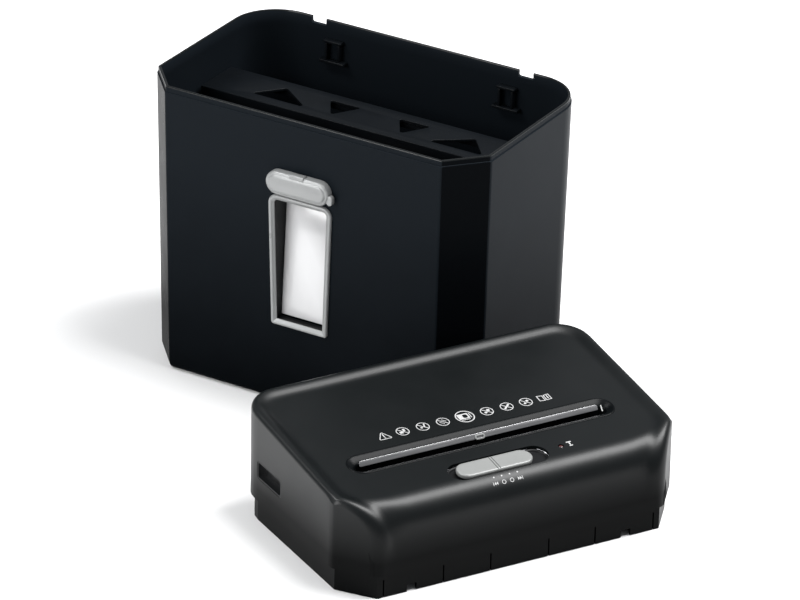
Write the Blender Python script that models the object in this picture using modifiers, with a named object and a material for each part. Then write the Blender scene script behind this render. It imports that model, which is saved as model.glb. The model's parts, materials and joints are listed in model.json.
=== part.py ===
"""Paper shredder with its cutter head lifted off and stood on the floor in front of the bin.

Metres, +Z up. The bin stands at the origin, turned by BIN_TURN. The head stands square to the axes:
+X runs along the feed slot and +Y to the head's back. Each half has an empty that carries its pieces.
"""

from math import acos, atan, cos, pi, radians, sin, sqrt, tan

import bmesh
import bpy
from mathutils import Matrix, Vector

# ---- Bin ----
BIN_WIDTH = 0.316
BIN_FRONT = 0.260            # width of the flat front between the chamfers
BIN_CHAMFER = 0.031          # how far back the chamfers reach
BIN_DEPTH = 0.190
BIN_HEIGHT = 0.256
BIN_REAR_RADIUS = 0.042
BIN_WALL = 0.0025
BIN_DRAFT = 0.028            # the base is smaller than the rim by this share
BIN_TURN = radians(-60)
RIM_STEP = 0.0010            # the rim's outside is rebated by this much
RIM_STEP_HEIGHT = 0.005
RIM_NOTCH_X = 0.099
RIM_NOTCH = (0.014, 0.006)   # width and depth of the two notches in the rear rim
CATCH_X = 0.083              # the two catches on the rear wall
CATCH_Z = 0.222
BRACE_Z = 0.218
BRACE_Y = (0.088, 0.134)
BRACE_THICK = 0.0025

# ---- Window in the bin's front ----
WINDOW_Z = (0.071, 0.188)
WINDOW_TOP = 0.060
WINDOW_BOTTOM = 0.053
WINDOW_BAR = 0.0050
WINDOW_PROUD = 0.0025
RECESS_DEPTH = (0.007, 0.021)   # behind the front wall's face, at the bottom and at the top
RECESS_WALL = 0.0014
PANE_THICK = 0.0020
CAP_SIZE = (0.059, 0.0205, 0.0085)
CAP_Z = 0.2008

# ---- Head ----
HEAD_PLACE = (-0.0505, -0.3590)   # middle of the head's front edge on the floor
HEAD_WIDTH = 0.304
HEAD_FRONT = 0.256
HEAD_CHAMFER = 0.030
HEAD_DEPTH = 0.186
HEAD_REAR_RADIUS = 0.028
HEAD_BACK_Z = 0.100          # crest of the lip at the back
TOP_SLOPE = 0.12             # rise of the top for each unit of depth
COVER_BOTTOM = 0.020
COVER_WALL = 0.0025
LIP = 0.003                  # height of the lip above the dished panel
ROLL_DEPTH = (0.022, 0.030)  # how far back the front's roll starts, at the middle and at the corners
ROLL_DROP = (0.024, 0.034)   # how far it falls, above an upright face
ROLL_CORNER_X = 0.112        # where the roll starts to change towards the corners
SKIRT_GAP = 0.0006
HOUSING_WALL = 0.0024
HOUSING_TOP = 0.026
FLOOR_Z = (0.0120, 0.0145)
SLIT_X = (-0.121, -0.068, -0.026, 0.026, 0.068, 0.121)
SLIT = (0.0012, 0.0150)
SKIRT_NOTCH_X = (-0.096, 0.096)
SKIRT_NOTCH = (0.0085, 0.0060)
GRIP_Y = (0.114, 0.154)
GRIP_Z = (0.040, 0.056)
GRIP_DEPTH = 0.0075
GRIP_WALL = 0.0014
GLAND_PLACE = (0.085, HEAD_DEPTH, 0.040)
GLAND_RADIUS = 0.0055
PLUNGER_PLACE = (0.126, 0.120)
PLUNGER_RADIUS = 0.0025
SCREW_PLACES = ((-0.128, 0.040), (0.128, 0.040), (-0.120, 0.174), (0.120, 0.174))

# ---- Feed slot and controls, laid out on the sloping top from the middle of the slot ----
SLOT_Y = 0.067               # slot behind the head's front edge
SLOT_SIZE = (0.2260, 0.0100)
BEZEL_SIZE = (0.2390, 0.0270)
BEZEL_THICK = 0.0022
THROAT_DEPTH = 0.0140
THROAT_WALL = 0.0016
SLIDER_X = -0.0065           # middle of the slider's recess
SLIDER_Y = -0.0380
SLIDER_SIZE = (0.0660, 0.0190, 0.0034)
RECESS_SIZE = (0.0880, 0.0225)
SLIDER_STEP = 0.0070
SLIDER_REST_STEP = 1         # the slider stands on the second of its four places
LED_PLACE = (0.0510, -0.0360)
LED_RADIUS = 0.0020
SENSOR_PIVOT = (0, 0.0108, -0.0176)   # axis of the paper sensor's lever, under the throat

# ---- Cutter block ----
CUTTER_SPACING = 0.0260
CUTTER_Z = 0.0410
DISC_COUNT = 18
DISC_PITCH = 0.0120
DISC_THICK = 0.0054
DISC_RADIUS = 0.0150
HUB_RADIUS = 0.0095
JOURNAL_RADIUS = 0.0040
FRAME_X = 0.1130             # inner face of each side frame
FRAME_THICK = 0.0020
FRAME_Y = (0.032, 0.106)
LEFT_FRAME_BACK = 0.172
FRAME_Z = (0.0148, 0.0665)
BEARING = (0.0080, 0.0060)   # outer radius and width
ROD_RADIUS = 0.0030
ROD_PLACES = {"tie_rod_front": (0.038, 0.053), "tie_rod_rear": (0.099, 0.059)}
CLEARANCE = 0.0003

# ---- Gear train: layers run out from the left side frame ----
SYNC = (20, 0.0013)          # teeth and module
DRIVE = (36, 0.0013)
IDLER_SMALL = (14, 0.0013)
IDLER_BIG = (48, 0.0010)
PINION = (12, 0.0010)
LAYER_SYNC = (-0.1230, -0.1170)
LAYER_DRIVE = (-0.1305, -0.1245)
LAYER_PINION = (-0.1370, -0.1320)
GEAR_PLATE_X = (-0.1398, -0.1382)
PIN_RADIUS = 0.0030
MOTOR_YZ = (0.136, 0.044)
MOTOR_RADIUS = 0.0270
MOTOR_X = (-0.1125, -0.0300)
MOTOR_SHAFT_RADIUS = 0.0025

COLOURS = {
    "black_plastic": ((0.012, 0.013, 0.015), 0.32, 0.0),
    "black_gloss": ((0.008, 0.008, 0.009), 0.20, 0.0),
    "dark_plastic": ((0.020, 0.020, 0.022), 0.55, 0.0),
    "silver_plastic": ((0.55, 0.56, 0.57), 0.35, 0.3),
    "pale_silver": ((0.72, 0.73, 0.74), 0.35, 0.2),
    "clear_pane": ((0.80, 0.82, 0.84), 0.10, 0.0),
    "steel": ((0.50, 0.50, 0.50), 0.35, 1.0),
    "cutter_steel": ((0.32, 0.32, 0.33), 0.40, 1.0),
    "bronze": ((0.55, 0.38, 0.20), 0.45, 1.0),
    "gear_plastic": ((0.85, 0.84, 0.80), 0.50, 0.0),
    "board_green": ((0.03, 0.18, 0.08), 0.50, 0.0),
    "lens_red": ((0.10, 0.01, 0.01), 0.15, 0.0),
    "rubber": ((0.02, 0.02, 0.02), 0.80, 0.0),
}


# ---- Scene, materials and frames ----
def clear_scene():
    for obj in list(bpy.data.objects):
        bpy.data.objects.remove(obj)


def new_collection(name):
    collection = bpy.data.collections.new(name)
    bpy.context.scene.collection.children.link(collection)
    return collection


def material(name):
    found = bpy.data.materials.get(name)
    if found:
        return found
    colour, roughness, metallic = COLOURS[name]
    made = bpy.data.materials.new(name)
    made.use_nodes = True
    shader = made.node_tree.nodes["Principled BSDF"]
    shader.inputs["Base Color"].default_value = (*colour, 1.0)
    shader.inputs["Roughness"].default_value = roughness
    shader.inputs["Metallic"].default_value = metallic
    made.diffuse_color = (*colour, 1.0)
    return made


def empty(name, parent=None, location=(0, 0, 0), rotation=(0, 0, 0)):
    made = bpy.data.objects.new(name, None)
    SHREDDER.objects.link(made)
    made.parent = parent
    made.location = location
    made.rotation_euler = rotation
    return made


# A part whose local Z runs along the head's X, with local X to the back and local Y up.
ALONG_X = (pi / 2, 0, pi / 2)


def place(obj, parent, colour=None, location=(0, 0, 0), rotation=(0, 0, 0), smooth=40):
    """Puts an object under its frame; with no colour it is a cutter and is kept out of the model."""
    home = SHREDDER if colour else CUTTERS
    if obj.name not in home.objects:
        home.objects.link(obj)
    obj.parent = parent
    obj.location = location
    obj.rotation_euler = rotation
    if colour:
        obj.data.materials.clear()
        obj.data.materials.append(material(colour))
        obj.data.shade_smooth()
        obj.data.set_sharp_from_angle(angle=radians(smooth))
    else:
        obj.hide_render = True
        obj.display_type = "WIRE"
    return obj


# ---- Shapes ----
def from_bmesh(name, bm):
    mesh = bpy.data.meshes.new(name)
    bmesh.ops.recalc_face_normals(bm, faces=bm.faces)
    bm.to_mesh(mesh)
    bm.free()
    return bpy.data.objects.new(name, mesh)


def box(name, low, high):
    bm = bmesh.new()
    bmesh.ops.create_cube(bm, size=1.0)
    size = Vector(high) - Vector(low)
    bmesh.ops.scale(bm, vec=size, verts=bm.verts)
    bmesh.ops.translate(bm, vec=(Vector(high) + Vector(low)) / 2, verts=bm.verts)
    return from_bmesh(name, bm)


def boxes(name, corners):
    """Several separate boxes in one mesh, for cutting a row of slits in one step."""
    bm = bmesh.new()
    for low, high in corners:
        made = bmesh.ops.create_cube(bm, size=1.0)["verts"]
        bmesh.ops.scale(bm, vec=Vector(high) - Vector(low), verts=made)
        bmesh.ops.translate(bm, vec=(Vector(high) + Vector(low)) / 2, verts=made)
    return from_bmesh(name, bm)


def cylinder(name, radius, low, high, segments=24, end_radius=None):
    """A cylinder or cone on the local Z axis, from z = low to z = high."""
    bm = bmesh.new()
    bmesh.ops.create_cone(bm, cap_ends=True, segments=segments, radius1=radius,
                          radius2=radius if end_radius is None else end_radius, depth=high - low)
    bmesh.ops.translate(bm, vec=(0, 0, (low + high) / 2), verts=bm.verts)
    return from_bmesh(name, bm)


def plate(name, loops, low, high):
    """A flat outline, with any holes as further loops, thickened from z = low to z = high."""
    curve = bpy.data.curves.new(name, "CURVE")
    curve.dimensions = "2D"
    curve.fill_mode = "BOTH"
    curve.extrude = (high - low) / 2
    for loop in loops:
        spline = curve.splines.new("POLY")
        spline.points.add(len(loop) - 1)
        for point, (x, y) in zip(spline.points, loop):
            point.co = (x, y, 0, 1)
        spline.use_cyclic_u = True
    flat = bpy.data.objects.new(name + "_outline", curve)
    CUTTERS.objects.link(flat)
    graph = bpy.context.evaluated_depsgraph_get()
    mesh = bpy.data.meshes.new_from_object(flat.evaluated_get(graph))
    bpy.data.objects.remove(flat)
    bm = bmesh.new()
    bm.from_mesh(mesh)
    bpy.data.meshes.remove(mesh)
    bmesh.ops.remove_doubles(bm, verts=bm.verts, dist=1e-6)
    bmesh.ops.translate(bm, vec=(0, 0, (low + high) / 2), verts=bm.verts)
    return from_bmesh(name, bm)


def turned(name, profile, steps=24):
    """A profile of (radius, z) points, from the top end to the bottom, turned about the local Z axis."""
    mesh = bpy.data.meshes.new(name)
    points = [(radius, 0, z) for radius, z in profile]
    mesh.from_pydata(points, [(i, i + 1) for i in range(len(points) - 1)], [])
    obj = bpy.data.objects.new(name, mesh)
    screw = obj.modifiers.new("turn", "SCREW")
    screw.steps = steps
    screw.render_steps = steps
    screw.use_merge_vertices = True
    screw.merge_threshold = 1e-5
    return obj


def cut(obj, cutter, operation="DIFFERENCE"):
    modifier = obj.modifiers.new(cutter.name, "BOOLEAN")
    modifier.operation = operation
    modifier.solver = "EXACT"
    modifier.object = cutter


def circle(radius, count, centre=(0, 0)):
    step = 2 * pi / count
    return [(centre[0] + radius * cos(i * step), centre[1] + radius * sin(i * step)) for i in range(count)]


def arc(centre, radius, start, end, count):
    """Points on an arc from angle start to angle end."""
    turn = (end - start) / (count - 1)
    return [(centre[0] + radius * cos(start + i * turn), centre[1] + radius * sin(start + i * turn))
            for i in range(count)]


def stadium(length, width, centre=(0, 0), count=8):
    half = (length - width) / 2
    right = arc((centre[0] + half, centre[1]), width / 2, -pi / 2, pi / 2, count)
    left = arc((centre[0] - half, centre[1]), width / 2, pi / 2, 3 * pi / 2, count)
    return right + left


def plan(width, front, chamfer, depth, rear_radius, inset=0.0, arc_points=6):
    """Plan of both halves: flat front, chamfered front corners, straight sides and round rear corners.

    The inset moves every side inwards by the same distance. Points run anticlockwise from the front left.
    """
    half = width / 2 - inset
    back = depth - inset
    radius = rear_radius - inset
    lean = (width / 2 - front / 2) / chamfer            # sideways run of the chamfer for each unit of depth
    shift = inset * (sqrt(1 + lean * lean) - lean)      # how far the front corner moves along the front
    side_y = chamfer + inset * (sqrt(1 + lean * lean) - 1) / lean
    front_x = front / 2 - shift
    right = arc((half - radius, back - radius), radius, 0, pi / 2, arc_points)
    left = [(-x, y) for x, y in reversed(right)]
    return [(-front_x, inset), (front_x, inset), (half, side_y), *right, *left, (-half, side_y)]


def loft(name, rings, close_first=True, close_last=False):
    """A skin through rings of equal point counts."""
    bm = bmesh.new()
    made = [[bm.verts.new(point) for point in ring] for ring in rings]
    for lower, upper in zip(made, made[1:]):
        count = len(lower)
        for i in range(count):
            j = (i + 1) % count
            bm.faces.new((lower[i], lower[j], upper[j], upper[i]))
    if close_first:
        bm.faces.new(list(reversed(made[0])))
    if close_last:
        bm.faces.new(made[-1])
    return from_bmesh(name, bm)


def thicken(obj, thickness, offset):
    solid = obj.modifiers.new("wall", "SOLIDIFY")
    solid.thickness = thickness
    solid.offset = offset
    solid.use_even_offset = True


# ---- Gears ----
def gear_outline(teeth, module, phase=0.0, backlash=0.00012, flank_points=3):
    """An involute gear's outline; one tooth is centred on the angle phase."""
    pitch_r = teeth * module / 2
    base_r = pitch_r * cos(radians(20))
    tip_r = pitch_r + module * 0.95
    root_r = pitch_r - module * 1.20

    def roll(radius):
        if radius <= base_r:
            return 0.0
        pressure = acos(base_r / radius)
        return tan(pressure) - pressure

    half_tooth = (pi * module / 2 - backlash) / 2 / pitch_r + roll(pitch_r)
    first = max(root_r, base_r)
    radii = [first + (tip_r - first) * i / (flank_points - 1) for i in range(flank_points)]
    if root_r < base_r:
        radii = [root_r] + radii
    outline = []
    for tooth in range(teeth):
        middle = phase + tooth * 2 * pi / teeth
        up = [(r, middle - half_tooth + roll(r)) for r in radii]
        down = [(r, 2 * middle - angle) for r, angle in reversed(up)]
        outline += [(r * cos(angle), r * sin(angle)) for r, angle in up + down]
    return outline


def meshed_phase(driver_phase, driver_teeth, teeth, direction):
    """The phase of a gear that lies in this direction from its driver, so that its gap meets the tooth."""
    driver_turn = (direction - driver_phase) * driver_teeth / (2 * pi)
    return direction + pi - (2 * pi / teeth) * (0.5 - driver_turn)


# ---- Bin ----
def bin_ring(z, inset=0.0):
    share = (BIN_HEIGHT - z) / BIN_HEIGHT * BIN_DRAFT
    outline = plan(BIN_WIDTH, BIN_FRONT, BIN_CHAMFER, BIN_DEPTH, BIN_REAR_RADIUS, inset, arc_points=8)
    middle = BIN_DEPTH / 2
    return [(x * (1 - share), middle + (y - middle) * (1 - share), z) for x, y in outline]


def front_face_y(z):
    """Where the leaning front wall's outer face stands at this height."""
    return BIN_DEPTH / 2 * (BIN_HEIGHT - z) / BIN_HEIGHT * BIN_DRAFT


def window_outline(grow):
    """The window's four corners on the front, grown by this much all round, as (x, z)."""
    bottom, top = WINDOW_Z
    lower = WINDOW_BOTTOM / 2 + grow
    upper = WINDOW_TOP / 2 + grow
    return [(-lower, bottom - grow), (lower, bottom - grow), (upper, top + grow), (-upper, top + grow)]


def make_bin(frame):
    step_z = BIN_HEIGHT - RIM_STEP_HEIGHT
    rings = [bin_ring(0.0, 0.006), bin_ring(0.0018, 0.0018), bin_ring(0.006), bin_ring(step_z),
             bin_ring(step_z + 0.0005, RIM_STEP), bin_ring(BIN_HEIGHT, RIM_STEP)]
    shell = loft("bin_shell", rings)
    thicken(shell, BIN_WALL, -1)
    place(shell, frame, "black_plastic", smooth=30)

    width, depth = RIM_NOTCH
    notches = boxes("rim_notches", [((x - width / 2, BIN_DEPTH - 0.02, BIN_HEIGHT - depth),
                                     (x + width / 2, BIN_DEPTH + 0.02, BIN_HEIGHT + 0.01))
                                    for x in (-RIM_NOTCH_X, RIM_NOTCH_X)])
    cut(shell, place(notches, frame))
    hole = plate_on_front("window_hole", [window_outline(-WINDOW_BAR * 0.55)], -0.03, 0.03)
    cut(shell, place(hole, frame))
    rear_face = BIN_DEPTH - BIN_WALL - front_face_y(CATCH_Z)
    for side, x in (("left", -CATCH_X), ("right", CATCH_X)):
        catch = plate_on_front("catch_" + side, [catch_outline(x)], rear_face - 0.006, rear_face + 0.0012)
        cut(shell, place(catch, frame), "UNION")

    make_brace(frame)
    make_window(frame)


def catch_outline(x):
    """A ledge with two upright ribs, as (x, z)."""
    wide, rib, thick = 0.011, 0.006, 0.001
    top = CATCH_Z + 0.016
    outline = [(x - wide, CATCH_Z - 0.0024), (x + wide, CATCH_Z - 0.0024), (x + wide, CATCH_Z)]
    for middle in (x + rib, x - rib):
        outline += [(middle + thick, CATCH_Z), (middle + thick, top),
                    (middle - thick, top), (middle - thick, CATCH_Z)]
    return outline + [(x - wide, CATCH_Z)]


def plate_on_front(name, loops, low, high):
    """A plate whose outline is in (x, z) and whose thickness runs along Y, from y = low to y = high."""
    made = plate(name, loops, -high, -low)
    made.data.transform(Matrix.Rotation(pi / 2, 4, "X"))
    return made


def make_brace(frame):
    """The shelf-like brace below the rim, with four triangular openings and a turned-down front edge."""
    front, back = BRACE_Y
    side = BIN_WIDTH / 2 - BIN_WALL - RIM_STEP - 0.0028
    bar = 0.011
    opening = 0.052
    lean = 0.020
    loops = [[(-side, front), (side, front), (side, back), (-side, back)]]
    low = front + bar
    high = back - bar
    for sign in (-1, 1):
        outer = sign * 0.110
        inner = sign * (0.110 - opening)
        loops.append([(outer, low), (inner, low), (outer - sign * lean, high)])
        start = inner - sign * 0.010
        loops.append([(start, high), (start - sign * 0.030, high), (start - sign * 0.015, low)])
    brace = plate("bin_brace", loops, BRACE_Z - BRACE_THICK, BRACE_Z)
    lip = box("brace_lip", (-side, front, BRACE_Z - 0.009), (side, front + 0.002, BRACE_Z - 0.001))
    cut(brace, place(lip, frame), "UNION")
    place(brace, frame, "black_plastic")


def make_window(frame):
    bar = WINDOW_BAR
    low_z, high_z = WINDOW_Z
    middle = (low_z + high_z) / 2
    lean = atan(front_face_y(0) / BIN_HEIGHT)
    ring = plate_on_front("window_frame", [window_outline(0), window_outline(-bar)], -WINDOW_PROUD, 0)
    ring.data.transform(Matrix.Translation((0, 0, -middle)))
    bevel = ring.modifiers.new("round", "BEVEL")
    bevel.width = 0.0008
    bevel.segments = 2
    bevel.limit_method = "ANGLE"
    place(ring, frame, "silver_plastic", rotation=(lean, 0, 0),
          location=(0, front_face_y(middle) - CLEARANCE, middle))

    def depth_at(z):
        share = (z - low_z) / (high_z - low_z)
        return RECESS_DEPTH[0] + (RECESS_DEPTH[1] - RECESS_DEPTH[0]) * share

    inner = window_outline(-bar - 0.001)
    front_ring = [(x, front_face_y(z) + 0.0006, z) for x, z in inner]
    back_ring = [(x, front_face_y(z) + depth_at(z), z) for x, z in inner]
    recess = loft("window_recess", [front_ring, back_ring], close_first=False)
    thicken(recess, RECESS_WALL, 0)
    place(recess, frame, "dark_plastic")

    pane_z = [z for _, z in inner]
    tilt = atan((depth_at(max(pane_z)) - depth_at(min(pane_z))) / (max(pane_z) - min(pane_z)))
    centre_z = (max(pane_z) + min(pane_z)) / 2
    outline = [(x * 1.02, (z - centre_z) * 1.02) for x, z in inner]
    pane = plate_on_front("window_pane", [outline], 0, PANE_THICK)
    place(pane, frame, "clear_pane", rotation=(-tilt + lean, 0, 0),
          location=(0, front_face_y(centre_z) + depth_at(centre_z) + 0.0012, centre_z))

    length, height, thick = CAP_SIZE
    cap = plate_on_front("window_cap", [stadium(length, height, count=9)], -thick, 0)
    bevel = cap.modifiers.new("round", "BEVEL")
    bevel.width = 0.0018
    bevel.segments = 2
    bevel.limit_method = "ANGLE"
    bevel.angle_limit = radians(50)
    place(cap, frame, "silver_plastic", rotation=(lean, 0, 0),
          location=(0, front_face_y(CAP_Z) - CLEARANCE, CAP_Z))


# ---- Head: cover and housing ----
def panel_z(y):
    """Height of the dished panel on top of the head."""
    return HEAD_BACK_Z - LIP - TOP_SLOPE * (HEAD_DEPTH - y)


def smooth_step(value):
    value = min(max(value, 0.0), 1.0)
    return value * value * (3 - 2 * value)


def cover_z(x, y, inset):
    """Height of the cover's skin: the panel, the lip round its sides and back, and the rolled front."""
    corner = smooth_step((abs(x) - ROLL_CORNER_X) / (HEAD_WIDTH / 2 - ROLL_CORNER_X))
    roll = ROLL_DEPTH[0] + (ROLL_DEPTH[1] - ROLL_DEPTH[0]) * corner
    reach = min(max((roll - y) / roll, 0.0), 1.0)
    fall = 1 - sqrt(1 - reach * reach)
    at_side = smooth_step((y - 0.006) / 0.030)
    lip = LIP * at_side * (1 - smooth_step((inset - 0.005) / 0.010))
    edge = 0.005
    drop = edge - sqrt(edge ** 2 - (edge - min(inset, edge)) ** 2)
    return panel_z(y) + lip - drop - fall * (ROLL_DROP[0] + (ROLL_DROP[1] - ROLL_DROP[0]) * corner)


def cover_ring(inset, z=None):
    outline = plan(HEAD_WIDTH, HEAD_FRONT, HEAD_CHAMFER, HEAD_DEPTH, HEAD_REAR_RADIUS, inset)
    dense = []
    for i, (x, y) in enumerate(outline):
        next_x, next_y = outline[(i + 1) % len(outline)]
        parts = 4 if i in (1, len(outline) - 1) else 1
        parts = 2 if i in (2, len(outline) - 2) else parts
        dense += [(x + (next_x - x) * k / parts, y + (next_y - y) * k / parts) for k in range(parts)]
    return [(x, y, cover_z(x, y, inset) if z is None else z) for x, y in dense]


def make_cover(head, panel):
    rings = [cover_ring(0, COVER_BOTTOM)] + [cover_ring(d) for d in (0, 0.0012, 0.005, 0.010, 0.015, 0.022)]
    cover = loft("top_cover", rings, close_first=False, close_last=True)
    thicken(cover, COVER_WALL, -1)
    place(cover, head, "black_gloss", smooth=35)
    length, width = BEZEL_SIZE
    hole = plate("slot_hole", [stadium(length - 0.006, width - 0.006)], -0.03, 0.03)
    cut(cover, place(hole, panel))
    hole = plate("slider_hole", [stadium(*RECESS_SIZE, centre=(SLIDER_X, SLIDER_Y))], -0.03, 0.03)
    cut(cover, place(hole, panel))
    hole = cylinder("led_hole", LED_RADIUS + CLEARANCE, -0.03, 0.03, 12)
    cut(cover, place(hole, panel, location=(*LED_PLACE, 0)))
    grips = boxes("grip_holes", [((-0.2, GRIP_Y[0], GRIP_Z[0]), (-0.13, GRIP_Y[1], GRIP_Z[1])),
                                 ((0.13, GRIP_Y[0], GRIP_Z[0]), (0.2, GRIP_Y[1], GRIP_Z[1]))])
    cut(cover, place(grips, head))
    gland = cylinder("gland_hole", GLAND_RADIUS + CLEARANCE, -0.02, 0.02, 16)
    cut(cover, place(gland, head, location=GLAND_PLACE, rotation=(pi / 2, 0, 0)))


def make_housing(head):
    """The tray below the cover: a skirt that drops into the bin's rim and a floor that carries the works."""
    outer = COVER_WALL + SKIRT_GAP
    inner = outer + HOUSING_WALL
    shape = (HEAD_WIDTH, HEAD_FRONT, HEAD_CHAMFER, HEAD_DEPTH, HEAD_REAR_RADIUS)
    housing = plate("base_housing", [plan(*shape, outer)], 0, HOUSING_TOP)
    place(housing, head, "black_plastic")
    for name, low, high in (("housing_below", -0.01, FLOOR_Z[0]), ("housing_above", FLOOR_Z[1], 0.05)):
        cut(housing, place(plate(name, [plan(*shape, inner)], low, high), head))
    drop = box("discharge_hole", (-0.108, SLOT_Y - 0.029, 0), (0.108, SLOT_Y + 0.029, 0.03))
    cut(housing, place(drop, head))

    width, height = SLIT
    slits = [((x - width / 2, -0.01, -0.01), (x + width / 2, inner + 0.003, height)) for x in SLIT_X]
    width, height = SKIRT_NOTCH
    slits += [((x - width / 2, -0.01, -0.01), (x + width / 2, inner + 0.003, height)) for x in SKIRT_NOTCH_X]
    cut(housing, place(boxes("skirt_slits", slits), head))
    hole = cylinder("plunger_hole", PLUNGER_RADIUS + CLEARANCE, 0, 0.03, 12)
    cut(housing, place(hole, head, location=(*PLUNGER_PLACE, 0)))
    for index, spot in enumerate(SCREW_PLACES, 1):
        hole = cylinder("screw_hole_%d" % index, 0.0021, 0, 0.03, 10)
        cut(housing, place(hole, head, location=(*spot, 0)))
        screw = cylinder("cover_screw_%d" % index, 0.0034, FLOOR_Z[0] - 0.0024, FLOOR_Z[0] - CLEARANCE, 10)
        shank = cylinder("screw_shank_%d" % index, 0.0017, FLOOR_Z[0] - 0.0020, FLOOR_Z[1] + 0.010, 10)
        cut(screw, place(shank, head, location=(*spot, 0)), "UNION")
        place(screw, head, "steel", location=(*spot, 0))


def make_grips(head):
    wall = GRIP_WALL
    outside = HEAD_WIDTH / 2 - 0.0002
    for side, sign in (("left", -1), ("right", 1)):
        gap = CLEARANCE
        low = (outside - GRIP_DEPTH, GRIP_Y[0] + gap, GRIP_Z[0] + gap)
        high = (outside, GRIP_Y[1] - gap, GRIP_Z[1] - gap)
        outer = [(sign * low[0], low[1], low[2]), (sign * high[0], high[1], high[2])]
        inner = [(sign * (low[0] + wall), low[1] + wall, low[2] + wall),
                 (sign * (high[0] + 0.01), high[1] - wall, high[2] - wall)]
        pocket = box("grip_" + side, *ordered(*outer))
        cut(pocket, place(box("grip_hollow_" + side, *ordered(*inner)), head))
        place(pocket, head, "dark_plastic")


def ordered(one, other):
    low = tuple(min(a, b) for a, b in zip(one, other))
    high = tuple(max(a, b) for a, b in zip(one, other))
    return low, high


# ---- Head: slot and controls ----
def make_slot(panel):
    """The bezel sits on the panel round the slot, and its throat leads the paper down to the cutters."""
    length, width = SLOT_SIZE
    lift = 0.0004
    bezel = plate("slot_bezel", [stadium(*BEZEL_SIZE), stadium(length, width)], lift, lift + BEZEL_THICK)
    throat = plate("throat_wall", [stadium(length + 2 * THROAT_WALL, width + 2 * THROAT_WALL),
                                   stadium(length, width)], -THROAT_DEPTH, lift + 0.001)
    cut(bezel, place(throat, panel), "UNION")
    place(bezel, panel, "black_gloss")
    strip = box("slot_lip_strip", (-0.1070, width / 2 - 0.0028, -0.0060),
                (0.1070, width / 2 - CLEARANCE, 0.0018))
    place(strip, panel, "steel")


def make_slider(panel):
    length, width, height = SLIDER_SIZE
    recess_length, recess_width = RECESS_SIZE
    centre = (SLIDER_X, SLIDER_Y)
    gap = CLEARANCE
    outline = stadium(recess_length - 2 * gap, recess_width - 2 * gap, centre)
    bed = plate("slider_bed", [outline], -0.0060, -0.0026)
    hollow = plate("slider_bed_hollow", [stadium(recess_length - 0.0030, recess_width - 0.0030, centre)],
                   -0.0045, 0.001)
    cut(bed, place(hollow, panel))
    stem_slot = box("stem_slot", (SLIDER_X - 0.0145, SLIDER_Y - 0.0022, -0.02),
                    (SLIDER_X + 0.0145, SLIDER_Y + 0.0022, 0))
    cut(bed, place(stem_slot, panel))
    place(bed, panel, "dark_plastic")

    rest = SLIDER_X + (SLIDER_REST_STEP - 1.5) * SLIDER_STEP
    slider = plate("mode_slider", [stadium(length, width - 0.001, count=9)], -0.0022, height - 0.0022)
    bevel = slider.modifiers.new("round", "BEVEL")
    bevel.width = 0.0008
    bevel.segments = 2
    bevel.limit_method = "ANGLE"
    groove = box("slider_groove", (-0.0006, -0.02, height - 0.0028), (0.0006, 0.02, 0.01))
    cut(slider, place(groove, panel, location=(rest, SLIDER_Y, 0)))
    stem = box("slider_stem", (-0.0025, -0.0016, -0.0100), (0.0025, 0.0016, -0.0015))
    cut(slider, place(stem, panel, location=(rest, SLIDER_Y, 0)), "UNION")
    place(slider, panel, "pale_silver", location=(rest, SLIDER_Y, 0))

    switch = box("mode_switch", (SLIDER_X - 0.019, SLIDER_Y - 0.006, -0.0190),
                 (SLIDER_X + 0.019, SLIDER_Y + 0.006, -0.0106))
    place(switch, panel, "dark_plastic")
    profile = [(0, 0.0006), (LED_RADIUS * 0.7, 0.0003), (LED_RADIUS, -0.0006),
               (LED_RADIUS, -0.0070), (0, -0.0070)]
    lens = turned("indicator_lens", profile, 12)
    place(lens, panel, "lens_red", location=(*LED_PLACE, 0))


def make_sensor(panel):
    """A light lever that hangs across the throat below its walls and swings down when paper pushes it."""
    pivot = SENSOR_PIVOT
    lever = cylinder("sensor_lever", 0.0022, -0.0030, 0.0030, 12)
    lever.data.transform(Matrix.Rotation(pi / 2, 4, "Y"))
    finger = box("sensor_finger", (-0.0015, -0.0150, -0.0008), (0.0015, 0.0, 0.0008))
    cut(lever, place(finger, panel, location=pivot), "UNION")
    pin = cylinder("sensor_axle", 0.0010, -0.0052, 0.0052, 10)
    pin.data.transform(Matrix.Rotation(pi / 2, 4, "Y"))
    cut(lever, place(pin, panel, location=pivot), "UNION")
    place(lever, panel, "pale_silver", location=pivot)

    bracket = box("sensor_bracket", (-0.0056, -0.0032, -0.0026), (0.0056, 0.0062, 0.0058))
    gap = boxes("sensor_gap", [((-0.0034, -0.0060, -0.0060), (0.0034, 0.0032, 0.0032))])
    cut(bracket, place(gap, panel, location=pivot))
    bore = cylinder("sensor_bore", 0.0013, -0.02, 0.02, 10)
    bore.data.transform(Matrix.Rotation(pi / 2, 4, "Y"))
    cut(bracket, place(bore, panel, location=pivot))
    place(bracket, panel, "dark_plastic", location=pivot)


# ---- Head: cutter block ----
def cutter_profile(first_disc_x, low_end, high_end):
    """Profile along the shaft, from its high end to its low end, as (radius, x)."""
    edge = FRAME_X - 0.0045
    profile = [(0, high_end), (JOURNAL_RADIUS, high_end), (JOURNAL_RADIUS, edge), (HUB_RADIUS, edge)]
    for i in reversed(range(DISC_COUNT)):
        x = first_disc_x + i * DISC_PITCH
        profile += [(HUB_RADIUS, x + DISC_THICK / 2), (DISC_RADIUS, x + DISC_THICK / 2),
                    (DISC_RADIUS, x - DISC_THICK / 2), (HUB_RADIUS, x - DISC_THICK / 2)]
    return profile + [(HUB_RADIUS, -edge), (JOURNAL_RADIUS, -edge), (JOURNAL_RADIUS, low_end), (0, low_end)]


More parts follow.
